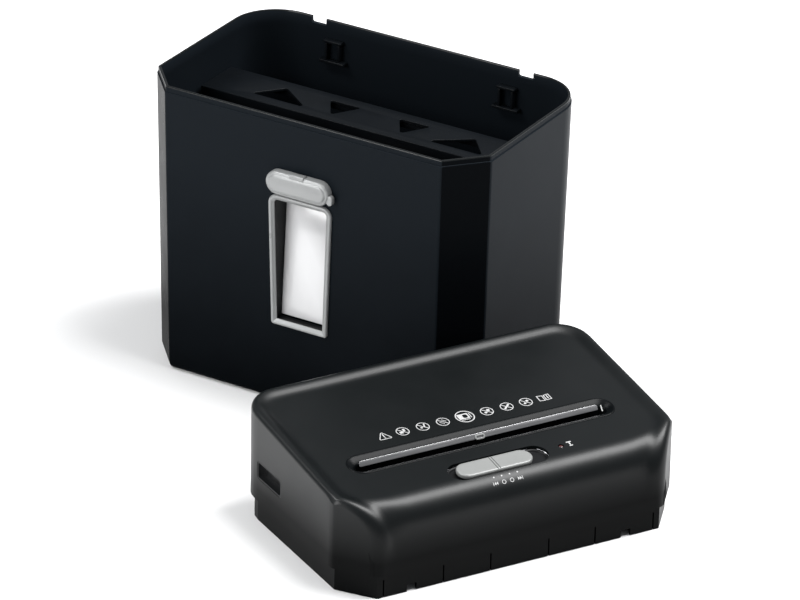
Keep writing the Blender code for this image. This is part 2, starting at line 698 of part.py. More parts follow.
def comb(name, first_disc_x, axis_y, sign):
    """A flat stripper comb whose fingers reach between the discs; sign is +1 behind the shaft, -1 in front."""
    near = HUB_RADIUS + 0.0007
    root = DISC_RADIUS + 0.0008
    far = DISC_RADIUS + 0.0070
    end = FRAME_X - CLEARANCE
    half_slot = DISC_THICK / 2 + 0.0005
    edge = FRAME_X - 0.0040
    points = [(-end, far), (end, far), (end, root), (edge, root), (edge, near)]
    for i in reversed(range(DISC_COUNT)):
        x = first_disc_x + i * DISC_PITCH
        points += [(x + half_slot, near), (x + half_slot, root), (x - half_slot, root), (x - half_slot, near)]
    points += [(-edge, near), (-edge, root), (-end, root)]
    return plate(name, [[(x, axis_y + sign * y) for x, y in points]], CUTTER_Z - 0.001, CUTTER_Z + 0.001)


def make_cutters(head):
    first = -(DISC_COUNT - 1) / 2 * DISC_PITCH
    shafts = (("front", SLOT_Y - CUTTER_SPACING / 2, first - DISC_PITCH / 4, LAYER_SYNC[0] - 0.0008, -1),
              ("rear", SLOT_Y + CUTTER_SPACING / 2, first + DISC_PITCH / 4, LAYER_DRIVE[0] - 0.0008, 1))
    for side, y, first_x, low_end, sign in shafts:
        cutter = turned(side + "_cutter", cutter_profile(first_x, low_end, FRAME_X + 0.005), 12)
        place(cutter, head, "cutter_steel", location=(0, y, CUTTER_Z), rotation=ALONG_X)
        place(comb(side + "_comb", first_x, y, sign), head, "dark_plastic")
        for end, low in (("left", -FRAME_X - 0.0025), ("right", FRAME_X - 0.0035)):
            radius, width = BEARING
            loops = [circle(radius, 20), circle(JOURNAL_RADIUS + CLEARANCE, 16)]
            bearing = plate("bearing_%s_%s" % (side, end), loops, low, low + width)
            place(bearing, head, "bronze", location=(0, y, CUTTER_Z), rotation=ALONG_X)
    make_frames(head, [shaft[1] for shaft in shafts])
    for name, (y, z) in ROD_PLACES.items():
        rod = cylinder(name, ROD_RADIUS, -FRAME_X + CLEARANCE, FRAME_X - CLEARANCE, 12)
        place(rod, head, "steel", location=(0, y, z), rotation=ALONG_X)


def make_frames(head, shaft_ys):
    low_y, high_y = FRAME_Y
    low_z, high_z = FRAME_Z
    holes = [circle(BEARING[0] + CLEARANCE, 20, (y, CUTTER_Z)) for y in shaft_ys]
    right = [(low_y, low_z), (high_y, low_z), (high_y, high_z - 0.012), (high_y - 0.012, high_z),
             (low_y + 0.020, high_z), (low_y, high_z - 0.020)]
    plate_right = plate("right_side_frame", [right, *holes], FRAME_X, FRAME_X + FRAME_THICK)
    place(plate_right, head, "steel", rotation=ALONG_X)
    left = [(low_y, low_z), (LEFT_FRAME_BACK, low_z), (LEFT_FRAME_BACK, high_z - 0.012),
            (LEFT_FRAME_BACK - 0.012, high_z), (low_y + 0.020, high_z), (low_y, high_z - 0.020)]
    holes.append(circle(0.0062, 16, MOTOR_YZ))
    holes.append(circle(PIN_RADIUS + CLEARANCE, 12, idler_place()))
    plate_left = plate("left_side_frame", [left, *holes], -FRAME_X - FRAME_THICK, -FRAME_X)
    place(plate_left, head, "steel", rotation=ALONG_X)


# ---- Head: gears and motor ----
def pitch_radius(gear):
    return gear[0] * gear[1] / 2


def rear_shaft_place():
    return (SLOT_Y + CUTTER_SPACING / 2, CUTTER_Z)


def idler_place():
    """The idler's axis, at the right distance from both the driven shaft and the motor, above their line."""
    shaft = Vector(rear_shaft_place())
    across = Vector(MOTOR_YZ) - shaft
    to_shaft = pitch_radius(DRIVE) + pitch_radius(IDLER_SMALL)
    to_motor = pitch_radius(PINION) + pitch_radius(IDLER_BIG)
    distance = across.length
    along = (to_shaft ** 2 - to_motor ** 2 + distance ** 2) / (2 * distance)
    up = sqrt(to_shaft ** 2 - along ** 2)
    unit = across / distance
    spot = shaft + unit * along + Vector((-unit.y, unit.x)) * up
    return (spot.x, spot.y)


def direction(start, end):
    return Vector((1, 0)).angle_signed(Vector(end) - Vector(start)) * -1


def make_gears(head):
    rear = rear_shaft_place()
    front = (SLOT_Y - CUTTER_SPACING / 2, CUTTER_Z)
    idler = idler_place()
    bore = circle(JOURNAL_RADIUS + CLEARANCE, 16)
    at_rear = {"location": (0, *rear), "rotation": ALONG_X}

    sync = gear_outline(*SYNC)
    place(plate("rear_sync_gear", [sync, bore], *LAYER_SYNC), head, "gear_plastic", **at_rear)
    phase = meshed_phase(0.0, SYNC[0], SYNC[0], pi)
    sync = gear_outline(*SYNC, phase)
    place(plate("front_sync_gear", [sync, bore], *LAYER_SYNC), head, "gear_plastic",
          location=(0, *front), rotation=ALONG_X)

    place(plate("drive_gear", [gear_outline(*DRIVE), bore], *LAYER_DRIVE), head, "gear_plastic", **at_rear)
    towards = direction(rear, idler)
    small_phase = meshed_phase(0.0, DRIVE[0], IDLER_SMALL[0], towards)
    pin_bore = circle(PIN_RADIUS + CLEARANCE, 12)
    big = plate("idler_gear", [gear_outline(*IDLER_BIG, flank_points=2), pin_bore], *LAYER_PINION)
    small_top = LAYER_DRIVE[1]
    small = plate("idler_small", [gear_outline(*IDLER_SMALL, small_phase), pin_bore],
                  LAYER_PINION[1] - 0.0010, small_top)
    cut(big, place(small, head, location=(0, *idler), rotation=ALONG_X), "UNION")
    place(big, head, "gear_plastic", location=(0, *idler), rotation=ALONG_X)

    towards = direction(idler, MOTOR_YZ)
    pinion_phase = meshed_phase(0.0, IDLER_BIG[0], PINION[0], towards)
    pinion = plate("motor_pinion", [gear_outline(*PINION, pinion_phase)],
                   LAYER_PINION[0] - 0.0004, LAYER_PINION[1] + 0.0004)
    shaft = cylinder("rotor_shaft", MOTOR_SHAFT_RADIUS, LAYER_PINION[1] - 0.001, MOTOR_X[0] + 0.016, 12)
    cut(pinion, place(shaft, head, location=(0, *MOTOR_YZ), rotation=ALONG_X), "UNION")
    place(pinion, head, "steel", location=(0, *MOTOR_YZ), rotation=ALONG_X)

    pin = cylinder("idler_pin", PIN_RADIUS, GEAR_PLATE_X[1] + CLEARANCE, -FRAME_X + 0.003, 12)
    place(pin, head, "steel", location=(0, *idler), rotation=ALONG_X)
    outline = [(FRAME_Y[0] + 0.030, 0.0156), (0.168, 0.0156), (0.168, 0.034), (0.150, 0.034),
               (0.118, 0.082), (0.090, 0.080), (0.062, 0.058)]
    place(plate("gear_plate", [outline], *GEAR_PLATE_X), head, "steel", rotation=ALONG_X)


def make_motor(head):
    place_args = {"location": (0, *MOTOR_YZ), "rotation": ALONG_X}
    low, high = MOTOR_X
    can = turned("motor_can", [(0, high), (MOTOR_RADIUS - 0.0015, high), (MOTOR_RADIUS, high - 0.0015),
                               (MOTOR_RADIUS, low + 0.0015), (MOTOR_RADIUS - 0.0015, low),
                               (MOTOR_SHAFT_RADIUS + CLEARANCE, low),
                               (MOTOR_SHAFT_RADIUS + CLEARANCE, low + 0.020), (0, low + 0.020)], 28)
    place(can, head, "steel", **place_args)
    cap = turned("motor_end_cap", [(0, high + 0.009), (0.010, high + 0.009), (0.013, high + 0.005),
                                   (MOTOR_RADIUS - 0.002, high + 0.004), (MOTOR_RADIUS - 0.001, high + CLEARANCE),
                                   (0, high + CLEARANCE)], 28)
    place(cap, head, "dark_plastic", **place_args)
    y, z = MOTOR_YZ
    saddle = box("motor_saddle", (high - 0.026, y - 0.031, FLOOR_Z[1] + CLEARANCE),
                 (high - 0.010, y + 0.031, z - 0.008))
    hollow = cylinder("saddle_hollow", MOTOR_RADIUS + CLEARANCE, -0.2, 0.2, 28)
    cut(saddle, place(hollow, head, **place_args))
    place(saddle, head, "dark_plastic")


# ---- Head: electrical pieces ----
def make_electrics(head):
    floor = FLOOR_Z[1] + CLEARANCE
    board = box("control_board", (0.010, 0.116, floor + 0.004), (0.100, 0.172, floor + 0.0056))
    parts = boxes("board_parts", [((0.018, 0.122, floor + 0.005), (0.040, 0.140, floor + 0.020)),
                                  ((0.050, 0.124, floor + 0.005), (0.064, 0.138, floor + 0.024)),
                                  ((0.074, 0.150, floor + 0.005), (0.090, 0.164, floor + 0.014)),
                                  ((0.014, 0.120, floor), (0.018, 0.168, floor + 0.005)),
                                  ((0.092, 0.120, floor), (0.096, 0.168, floor + 0.005))])
    cut(board, place(parts, head), "UNION")
    place(board, head, "board_green")

    x, y = PLUNGER_PLACE
    switch = box("interlock_switch", (x - 0.006, y - 0.010, floor), (x + 0.006, y + 0.010, floor + 0.018))
    bore = cylinder("switch_bore", PLUNGER_RADIUS + CLEARANCE, 0, floor + 0.013, 12)
    cut(switch, place(bore, head, location=(x, y, 0)))
    place(switch, head, "dark_plastic")
    low = 0.0045
    radius, top = PLUNGER_RADIUS, floor + 0.0080
    profile = [(0, top), (radius, top), (radius, low + 0.001), (radius - 0.001, low), (0, low)]
    plunger = turned("interlock_plunger", profile, 12)
    place(plunger, head, "pale_silver", location=(x, y, 0))

    outside, inside = 0.0030, -0.0060
    radius = GLAND_RADIUS
    bore = 0.0034                # hole for the cord
    profile = [(bore, outside), (radius + 0.002, outside - 0.0008), (radius + 0.002, CLEARANCE),
               (radius, CLEARANCE), (radius - 0.0003, inside), (bore, inside), (bore, outside)]
    gland = turned("cord_gland", profile, 16)
    place(gland, head, "rubber", location=GLAND_PLACE, rotation=(-pi / 2, 0, 0))


clear_scene()
SHREDDER = new_collection("paper_shredder")
CUTTERS = new_collection("cutters")


def main():
    middle = Vector((0, BIN_DEPTH / 2, 0))
    turn = Matrix.Rotation(BIN_TURN, 3, "Z")
    bin_frame = empty("bin_frame", location=-(turn @ middle), rotation=(0, 0, BIN_TURN))
    head = empty("head_frame", location=(*HEAD_PLACE, 0))
    panel = empty("panel_frame", head, (0, SLOT_Y, panel_z(SLOT_Y)), (atan(TOP_SLOPE), 0, 0))
    make_bin(bin_frame)
    make_cover(head, panel)
    make_housing(head)
    make_grips(head)
    make_slot(panel)
    make_slider(panel)
    make_sensor(panel)
    make_cutters(head)
    make_gears(head)
    make_motor(head)
    make_electrics(head)


main()
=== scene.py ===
"""The looks of the paper shredder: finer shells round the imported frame, materials, floor, light and camera.

Metres, in the frame's own axes. The head stands square to them and the bin is turned by BIN_TURN. Each half
is laid out in its own axes, x to the right and y to the back from the middle of its front edge. The controls
are laid out in the sloping panel's axes, from the middle of the feed slot.
"""

import json
from math import atan, cos, hypot, pi, radians, sin, sqrt, tan

import bmesh
import bpy
import numpy as np
from mathutils import Matrix, Vector
from mathutils.bvhtree import BVHTree

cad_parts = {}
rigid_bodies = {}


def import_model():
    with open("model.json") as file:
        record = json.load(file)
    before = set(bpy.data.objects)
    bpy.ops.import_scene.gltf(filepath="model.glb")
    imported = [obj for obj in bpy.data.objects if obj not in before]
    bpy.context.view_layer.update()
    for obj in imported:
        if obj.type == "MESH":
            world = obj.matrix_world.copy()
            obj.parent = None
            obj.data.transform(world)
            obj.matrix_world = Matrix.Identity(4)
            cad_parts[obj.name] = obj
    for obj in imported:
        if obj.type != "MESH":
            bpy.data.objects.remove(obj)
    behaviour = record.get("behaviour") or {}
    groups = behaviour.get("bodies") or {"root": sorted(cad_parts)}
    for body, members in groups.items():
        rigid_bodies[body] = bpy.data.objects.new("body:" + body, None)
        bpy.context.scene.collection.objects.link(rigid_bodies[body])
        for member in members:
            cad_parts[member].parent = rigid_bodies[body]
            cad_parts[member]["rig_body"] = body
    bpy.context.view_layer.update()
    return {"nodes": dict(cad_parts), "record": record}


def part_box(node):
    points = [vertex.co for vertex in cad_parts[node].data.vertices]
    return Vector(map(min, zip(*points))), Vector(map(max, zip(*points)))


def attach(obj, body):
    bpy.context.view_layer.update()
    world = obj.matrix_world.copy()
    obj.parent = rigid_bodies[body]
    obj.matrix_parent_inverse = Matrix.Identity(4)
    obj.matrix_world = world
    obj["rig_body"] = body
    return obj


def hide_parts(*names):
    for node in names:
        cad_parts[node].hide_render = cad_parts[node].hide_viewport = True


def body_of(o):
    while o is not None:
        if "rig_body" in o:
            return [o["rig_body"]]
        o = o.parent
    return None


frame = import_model()
SLOT_OF = {part["node"]: part["material_slot"] for part in frame["record"]["subparts"]}

# ---- Bin ----
BIN_WIDTH = 0.316
BIN_FRONT = 0.260
BIN_CHAMFER = 0.031
BIN_DEPTH = 0.190
BIN_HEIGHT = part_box("bin_shell")[1].z
BIN_REAR_RADIUS = 0.042
BIN_FRONT_RADII = (0.0035, 0.0045)  # front to chamfer, chamfer to side
BIN_WALL = 0.0025
BIN_DRAFT = 0.028
BIN_TURN = radians(-60)
RIM_STEP = 0.0010
RIM_STEP_HEIGHT = 0.005
RIM_EDGE = 0.0011  # how far down the rim's glossy edge reaches
RIM_NOTCH_X = 0.099
RIM_NOTCH = (0.014, 0.006)
CATCH_X = 0.083
CATCH_Z = 0.222
CATCH_LEDGE = 0.024
CATCH_POST_X = (0.0050, 0.0072)
CATCH_POST_TOP = 0.0150
CATCH_HEAD = 0.017
BRACE_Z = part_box("bin_brace")[1].z
BRACE_Y = (0.088, 0.134)
BRACE_PLATE = 0.0025
BRACE_MARGIN = 0.011  # from the brace's edges to its holes
BRACE_HOLES_X = (0.110, 0.058)  # outer and inner end of the large holes

# ---- Window ----
WINDOW_Z = (0.071, 0.188)
WINDOW_WIDTHS = (0.053, 0.060)  # at the bottom and at the top
WINDOW_RADII = (0.0028, 0.0085)  # of the bottom and top corners
WINDOW_BAR = 0.0050
RECESS_DEPTH = (0.007, 0.021)
CAP_SIZE = (0.059, 0.0205)
CAP_Z = 0.2008
CAP_TAB_X = 0.0068
REVEAL_INSETS = (0.0045, 0.0031)
PANE_EDGE = 0.0048
PANE_RISE = 0.0016  # clearance under the pane

# ---- Head ----
COVER_LOW, COVER_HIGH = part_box("top_cover")
HEAD_X = (COVER_LOW.x + COVER_HIGH.x) / 2
HEAD_Y = COVER_LOW.y
HEAD_WIDTH = COVER_HIGH.x - COVER_LOW.x
HEAD_DEPTH = COVER_HIGH.y - COVER_LOW.y
HEAD_TOP = COVER_HIGH.z
COVER_BOTTOM = COVER_LOW.z
HEAD_FRONT = 0.256
HEAD_CHAMFER = 0.030
HEAD_REAR_RADIUS = 0.028
TOP_SLOPE = 0.12
COVER_WALL = 0.0024
LIP = 0.0030  # how deep the panel is dished below the lip round it
EDGE_RADIUS = 0.0045
ROLL_DEPTH = (0.022, 0.030)  # how far back the front's roll starts, at the middle and at the corners
ROLL_DROP = (0.024, 0.034)  # how far it falls, above an upright face
ROLL_CORNER_X = 0.112  # where the roll starts to change towards the corners
FACE_FOOT = 0.024  # lowest row of the upright face
DISH_FALL = (0.0045, 0.0100)  # where the dish starts, in from the edge, and how wide its fall is
DISH_FADE = (0.026, 0.030)  # the height where the dish starts on the roll, and how much it takes
SLOT_Y = 0.067
SLOT_SIZE = (0.2260, 0.0100)
BEZEL_SIZE = (0.2390, 0.0270)
THROAT_DEPTH = 0.0140
STRIP_Y = (-0.0014, 0.0031)
STRIP_THICK = 0.0008
STRIP_LEAN = radians(52)
SLIDER_SPOT = (-0.0065, -0.0380)
SLIDER_SIZE = (0.0660, 0.0190)
RECESS_SIZE = (0.0880, 0.0225)
KNOB_GROOVES_X = (-0.0011, 0.0011)
KNOB_GROOVE = 0.0007
STEM_SIZE = (0.0050, 0.0032)
STEM_SLOT = (0.0290, 0.0044)
LED_SPOT = (0.0510, -0.0360)
LED_RADIUS = 0.0020
GRIP_Y = (0.114, 0.154)
GRIP_Z = (0.040, 0.056)
GRIP_CORNER = 0.0032
GLAND_BORE = 0.0058

# ---- Inner works ----
SIDE_FRAME_X = 0.1130
SHAFT_RADII = (0.0040, 0.0095)  # of the journals, and between the side frames
DISC_COUNT = 18
DISC_PITCH = 0.0120
DISC_THICK = 0.0054
DISC_STAGGER = radians(17)
TOOTH_COUNT = 6
TOOTH_DEPTH = 0.0026
FINE_EDGE = {"base_housing": 0.0005, "motor_can": 0.0008, "cord_gland": 0.0006, "motor_end_cap": 0.0006}
PLAIN_EDGE = 0.0002

# ---- Printed signs ----
SIGN_ROW = 0.0285
SIGN_RADIUS = 0.0055
SIGN_LINE = 0.0007
MARK_FIRST_X = -0.0186
MARK_PITCH = 0.0070
MARK_DOTS_Y = -0.0528
MARK_ROW_Y = -0.0582
PRINT_THICK = 0.00006
PRINT_LIFT = 0.00003
FLAT_REACH = -0.030  # the signs above this line lie on the flat panel

# ---- Finishes ----
CLOUD_SCALE = 14.0
SMEAR_SCALE = 37.0
COAT_ROUGHNESS = 0.12
# Painted shade: between a finish's fade heights its colour and gloss rise from their darkest, so a piece is
# darker towards the bottom.
PAINTED_SHADE_CLOUDS = 0.3  # how far the clouds move a fade
PAINTED_SHADE_STOPS = (0.10, 1.15 / 1.3)
PAINTED_SHADE_COLOUR = (0.35, 1.6)
PAINTED_SHADE_GLOSS = (0.3, 1.7)
# Painted reflection: the pane's grey levels and the lighter band across it stand in for the bright light
# reflected in it.
REFLECTION_BAND_TURN = radians(32)
REFLECTION_BAND_REACH = (0.015, 0.122)
REFLECTION_BAND_LEVELS = ((0.05, 0.52), (0.28, 0.55), (0.42, 0.60), (0.56, 0.60), (0.70, 0.47), (0.95, 0.50))

# ---- Stage ----
FLOOR_REACH = 14.0
FLOOR_DROP = 0.0004
FLOOR_COLOUR = (0.72, 0.72, 0.72, 1)
SKY_COLOUR = (0.93, 0.96, 1.0, 1)
SKY_STRENGTH = 0.34
CAMERA_PLACE = Vector((-2.161, -3.8984, 2.2709))
CAMERA_PITCH = radians(26.38)
CAMERA_TURN = radians(29.43)
CAMERA_ROLL = radians(1.25)
CAMERA_LENS = 271.7


def panel_z(y):
    """Height of the dished panel at this distance from the head's front."""
    return HEAD_TOP - LIP - TOP_SLOPE * (HEAD_DEPTH - y)


BIN_FRAME = Matrix.Rotation(BIN_TURN, 4, "Z") @ Matrix.Translation((0, -BIN_DEPTH / 2, 0))
HEAD_FRAME = Matrix.Translation((HEAD_X, HEAD_Y, 0))
PANEL_FRAME = (HEAD_FRAME @ Matrix.Translation((0, SLOT_Y, panel_z(SLOT_Y)))
               @ Matrix.Rotation(atan(TOP_SLOPE), 4, "X"))


# ---- Materials ----
def node(tree, kind, **settings):
    """A new node: a setting is one of its inputs or, failing that, one of its own properties."""
    made = tree.nodes.new(kind)
    for name, value in settings.items():
        if name in made.inputs:
            made.inputs[name].default_value = value
        else:
            setattr(made, name.lower(), value)
    return made


def map_range(tree, source, from_range=(0, 1), to_range=(0, 1)):
    """A node that carries the source's values from one range to another."""
    made = node(tree, "ShaderNodeMapRange")
    for end, from_value, to_value in zip(("Min", "Max"), from_range, to_range):
        made.inputs["From " + end].default_value = from_value
        made.inputs["To " + end].default_value = to_value
    tree.links.new(source, made.inputs["Value"])
    return made


def finish_of(name, colour, rough, metallic=0.0, mottle=0.12, rough_spread=0.05, grain=900.0,
              grain_depth=0.00003, stretch=(1, 1, 1), coat=0.0, specular=0.5, shade_fade=None):
    """A moulded, painted or metal finish: cloudy colour, uneven gloss and a fine grain in the surface.

    The fade is painted shade: a pair of heights between which the colour and the gloss rise from their
    darkest.
    """
    made = bpy.data.materials.new("look_" + name)
    made.use_nodes = True
    tree = made.node_tree
    shader = tree.nodes["Principled BSDF"]
    shader.inputs["Metallic"].default_value = metallic
    shader.inputs["Coat Weight"].default_value = coat
    shader.inputs["Coat Roughness"].default_value = COAT_ROUGHNESS
    shader.inputs["Specular IOR Level"].default_value = specular
    place = node(tree, "ShaderNodeTexCoord")
    stretched = node(tree, "ShaderNodeMapping", Scale=stretch)
    tree.links.new(place.outputs["Object"], stretched.inputs["Vector"])

    clouds = node(tree, "ShaderNodeTexNoise", Scale=CLOUD_SCALE, Detail=4.0, Roughness=0.6)
    tree.links.new(stretched.outputs["Vector"], clouds.inputs["Vector"])
    ramp = node(tree, "ShaderNodeValToRGB")
    dark, light = ramp.color_ramp.elements
    # Painted shade: the colour and the gloss darken towards the bottom by height.
    if shade_fade:
        parts = node(tree, "ShaderNodeSeparateXYZ")
        tree.links.new(place.outputs["Object"], parts.inputs["Vector"])
        rise = map_range(tree, parts.outputs["Z"], from_range=shade_fade)
        gloss = map_range(tree, rise.outputs["Result"], to_range=[specular * share for share in PAINTED_SHADE_GLOSS])
        tree.links.new(gloss.outputs["Result"], shader.inputs["Specular IOR Level"])
        blend = node(tree, "ShaderNodeMath", Operation="MULTIPLY_ADD")
        blend.inputs[1].default_value = PAINTED_SHADE_CLOUDS
        tree.links.new(clouds.outputs["Fac"], blend.inputs[0])
        tree.links.new(rise.outputs["Result"], blend.inputs[2])
        dark.position, light.position = PAINTED_SHADE_STOPS
        shares = PAINTED_SHADE_COLOUR
        tree.links.new(blend.outputs["Value"], ramp.inputs["Fac"])
    else:
        dark.position, light.position = 0.35, 0.68
        shares = (1 - mottle, 1 + mottle)
        tree.links.new(clouds.outputs["Fac"], ramp.inputs["Fac"])
    dark.color = (*[level * shares[0] for level in colour], 1)
    light.color = (*[min(1.0, level * shares[1]) for level in colour], 1)
    tree.links.new(ramp.outputs["Color"], shader.inputs["Base Color"])

    smears = node(tree, "ShaderNodeTexNoise", Scale=SMEAR_SCALE, Detail=3.0)
    tree.links.new(stretched.outputs["Vector"], smears.inputs["Vector"])
    uneven = map_range(tree, smears.outputs["Fac"], from_range=(0.3, 0.7),
                       to_range=(max(0.02, rough - rough_spread), min(1.0, rough + rough_spread)))
    tree.links.new(uneven.outputs["Result"], shader.inputs["Roughness"])

    fine = node(tree, "ShaderNodeTexNoise", Scale=grain, Detail=2.0)
    tree.links.new(stretched.outputs["Vector"], fine.inputs["Vector"])
    bump = node(tree, "ShaderNodeBump", Strength=0.5, Distance=grain_depth)
    tree.links.new(fine.outputs["Fac"], bump.inputs["Height"])
    tree.links.new(bump.outputs["Normal"], shader.inputs["Normal"])
    return made


def glazing():
    """The window's pane: satin clear plastic whose pale grey is a painted reflection of the bright light
    above, with a broad lighter band across it that is a painted highlight.
    """
    made = finish_of("clear_pane", (0.80, 0.81, 0.82), 0.16, mottle=0.03, rough_spread=0.04, grain=300.0,
                     grain_depth=0.00001, coat=0.6)
    tree = made.node_tree
    to_bin = node(tree, "ShaderNodeMapping", Rotation=(0, 0, -BIN_TURN))
    across = node(tree, "ShaderNodeMapping", Rotation=(0, REFLECTION_BAND_TURN, 0))
    parts = node(tree, "ShaderNodeSeparateXYZ")
    place = next(n for n in tree.nodes if n.type == "TEX_COORD")
    tree.links.new(place.outputs["Object"], to_bin.inputs["Vector"])
    tree.links.new(to_bin.outputs["Vector"], across.inputs["Vector"])
    tree.links.new(across.outputs["Vector"], parts.inputs["Vector"])
    share = map_range(tree, parts.outputs["X"], from_range=REFLECTION_BAND_REACH)
    ramp = next(n for n in tree.nodes if n.type == "VALTORGB")
    reflection_stops = ramp.color_ramp.elements
    reflection_stops[0].position = REFLECTION_BAND_LEVELS[0][0]
    reflection_stops[1].position = REFLECTION_BAND_LEVELS[-1][0]
    for position, _ in REFLECTION_BAND_LEVELS[1:-1]:
        reflection_stops.new(position)
    for stop, (_, level) in zip(reflection_stops, REFLECTION_BAND_LEVELS):
        stop.color = (level, level, level * 1.01, 1)
    tree.links.new(share.outputs["Result"], ramp.inputs["Fac"])
    return made


LOOKS = {
    "black_plastic": finish_of("black_plastic", (0.0034, 0.0042, 0.0052), 0.32, mottle=0.15, specular=0.07),
    "black_gloss": finish_of("black_gloss", (0.0028, 0.0036, 0.0040), 0.27, mottle=0.06, rough_spread=0.015,
                             grain_depth=0.00002, specular=0.27),
    "dark_plastic": finish_of("dark_plastic", (0.0060, 0.0064, 0.0070), 0.45, grain=700.0, specular=0.15),
    "silver_plastic": finish_of("silver_plastic", (0.23, 0.235, 0.235), 0.32, metallic=0.25, mottle=0.05),
    "pale_silver": finish_of("pale_silver", (0.19, 0.194, 0.19), 0.38, metallic=0.10, mottle=0.04),
    "clear_pane": glazing(),
    "steel": finish_of("steel", (0.50, 0.50, 0.51), 0.34, metallic=1.0, mottle=0.10, stretch=(1, 14, 14)),
    "cutter_steel": finish_of("cutter_steel", (0.33, 0.33, 0.34), 0.38, metallic=1.0, stretch=(14, 1, 1)),
    "bronze": finish_of("bronze", (0.50, 0.34, 0.19), 0.46, metallic=1.0, grain=1500.0),
    "gear_plastic": finish_of("gear_plastic", (0.78, 0.76, 0.70), 0.50, mottle=0.05),
    "board_green": finish_of("board_green", (0.02, 0.13, 0.06), 0.42, mottle=0.20),
    "lens_red": finish_of("lens_red", (0.035, 0.006, 0.006), 0.14, coat=0.5),
    "rubber": finish_of("rubber", (0.010, 0.010, 0.010), 0.72, grain=1200.0, grain_depth=0.00006,
                        specular=0.2),
}
# Painted shade: the bin's colour and gloss rise from their darkest at the floor to full at the rim, so it is
# darker towards the bottom.
BIN_LOOK = finish_of("bin_plastic", (0.0038, 0.0050, 0.0064), 0.32, mottle=0.10, rough_spread=0.02,
                     specular=0.015, shade_fade=(0.0, 0.26))
# Painted shade: a darker, duller copy of the bin's plastic for the two front chamfers, which stand in shade.
SHADED_CHAMFER_LOOK = finish_of("chamfer_painted_shade", (0.0011, 0.0014, 0.0018), 0.28, mottle=0.10, rough_spread=0.02,
                         specular=0.008, shade_fade=(0.0, 0.26))
# Painted shade: the cover's colour and gloss are darkest below 30 mm and full above 88 mm, so its lower faces
# are darker than its roll and panel.
COVER_LOOK = finish_of("cover_plastic", (0.0014, 0.0019, 0.0021), 0.36, mottle=0.06, rough_spread=0.015,
                       grain_depth=0.00002, specular=0.17, shade_fade=(0.030, 0.088))
BEZEL_LOOK = finish_of("bezel_plastic", (0.0022, 0.0028, 0.0032), 0.34, mottle=0.06, rough_spread=0.015,
                       grain_depth=0.00002, specular=0.07)
STRIP_LOOK = finish_of("lip_steel", (0.27, 0.27, 0.275), 0.34, metallic=1.0, mottle=0.10, stretch=(1, 14, 14))
SIGN_LOOK = finish_of("sign_print", (0.34, 0.34, 0.34), 0.55, mottle=0.04, specular=0.2)


# ---- Mesh tools ----
STOOD_FOR = set()


def finished(name, mesh, body, slot, replaced=(), transform=None, smooth=38, look=None):
    """Puts a mesh in place as a piece: its body, its slot and the nodes that it stands for."""
    if transform is not None:
        mesh.transform(transform)
    mesh.name = name
    piece = bpy.data.objects.new(name, mesh)
    bpy.context.scene.collection.objects.link(piece)
    mesh.materials.clear()
    mesh.materials.append(look or LOOKS[slot])
    mesh.shade_smooth()
    mesh.set_sharp_from_angle(angle=radians(smooth))
    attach(piece, body)
    if replaced:
        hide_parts(*replaced)
        STOOD_FOR.update(replaced)
    return piece


def mesh_from(points, faces):
    """A mesh with doubled points merged and all its faces turned outwards."""
    mesh = bpy.data.meshes.new("made")
    mesh.from_pydata([tuple(p) for p in points], [], faces)
    bm = bmesh.new()
    bm.from_mesh(mesh)
    bmesh.ops.remove_doubles(bm, verts=bm.verts, dist=1e-7)
    bmesh.ops.recalc_face_normals(bm, faces=bm.faces)
    bm.to_mesh(mesh)
    bm.free()
    return mesh


def skin(loops, wrap=False, caps=(False, False)):
    """A mesh through closed loops of equal point counts; wrap also joins the last loop to the first."""
    count = len(loops[0])
    points = [point for loop in loops for point in loop]
    faces = []
    for row in range(len(loops) if wrap else len(loops) - 1):
        low = row * count
        high = (row + 1) % len(loops) * count
        faces += [(low + i, low + (i + 1) % count, high + (i + 1) % count, high + i) for i in range(count)]
    if caps[0]:
        faces.append(tuple(reversed(range(count))))
    if caps[1]:
        last = (len(loops) - 1) * count
        faces.append(tuple(range(last, last + count)))
    return mesh_from(points, faces)


def rounded(corners, radii, inset=0.0, steps=6):
    """A convex outline moved in by inset, with an arc at each corner."""
    outline = []
    for i, radius in enumerate(radii):
        here = Vector(corners[i])
        back = (Vector(corners[i - 1]) - here).normalized()
        on = (Vector(corners[(i + 1) % len(corners)]) - here).normalized()
        half = back.angle(on) / 2
        bisector = (back + on).normalized()
        radius = max(radius - inset, 0.0002)
        corner = here + bisector * (inset / sin(half))
        centre = corner + bisector * (radius / sin(half))
        start = corner + back * (radius / tan(half)) - centre
        end = corner + on * (radius / tan(half)) - centre
        sweep = start.angle(end)
        for k in range(steps + 1):
            share = k / steps
            spoke = (start * sin((1 - share) * sweep) + end * sin(share * sweep)) / sin(sweep)
            outline.append(tuple(centre + spoke))
    return outline


def stadium(length, width, centre=(0, 0), steps=14):
    half = (length - width) / 2
    outline = []
    for side in (1, -1):
        for k in range(steps + 1):
            angle = -pi / 2 + pi * k / steps
            outline.append((centre[0] + side * (half + width / 2 * cos(angle)),
                            centre[1] + side * width / 2 * sin(angle)))
    return outline


def circle(radius, centre=(0, 0), count=32):
    return [(centre[0] + radius * cos(2 * pi * k / count), centre[1] + radius * sin(2 * pi * k / count))
            for k in range(count)]


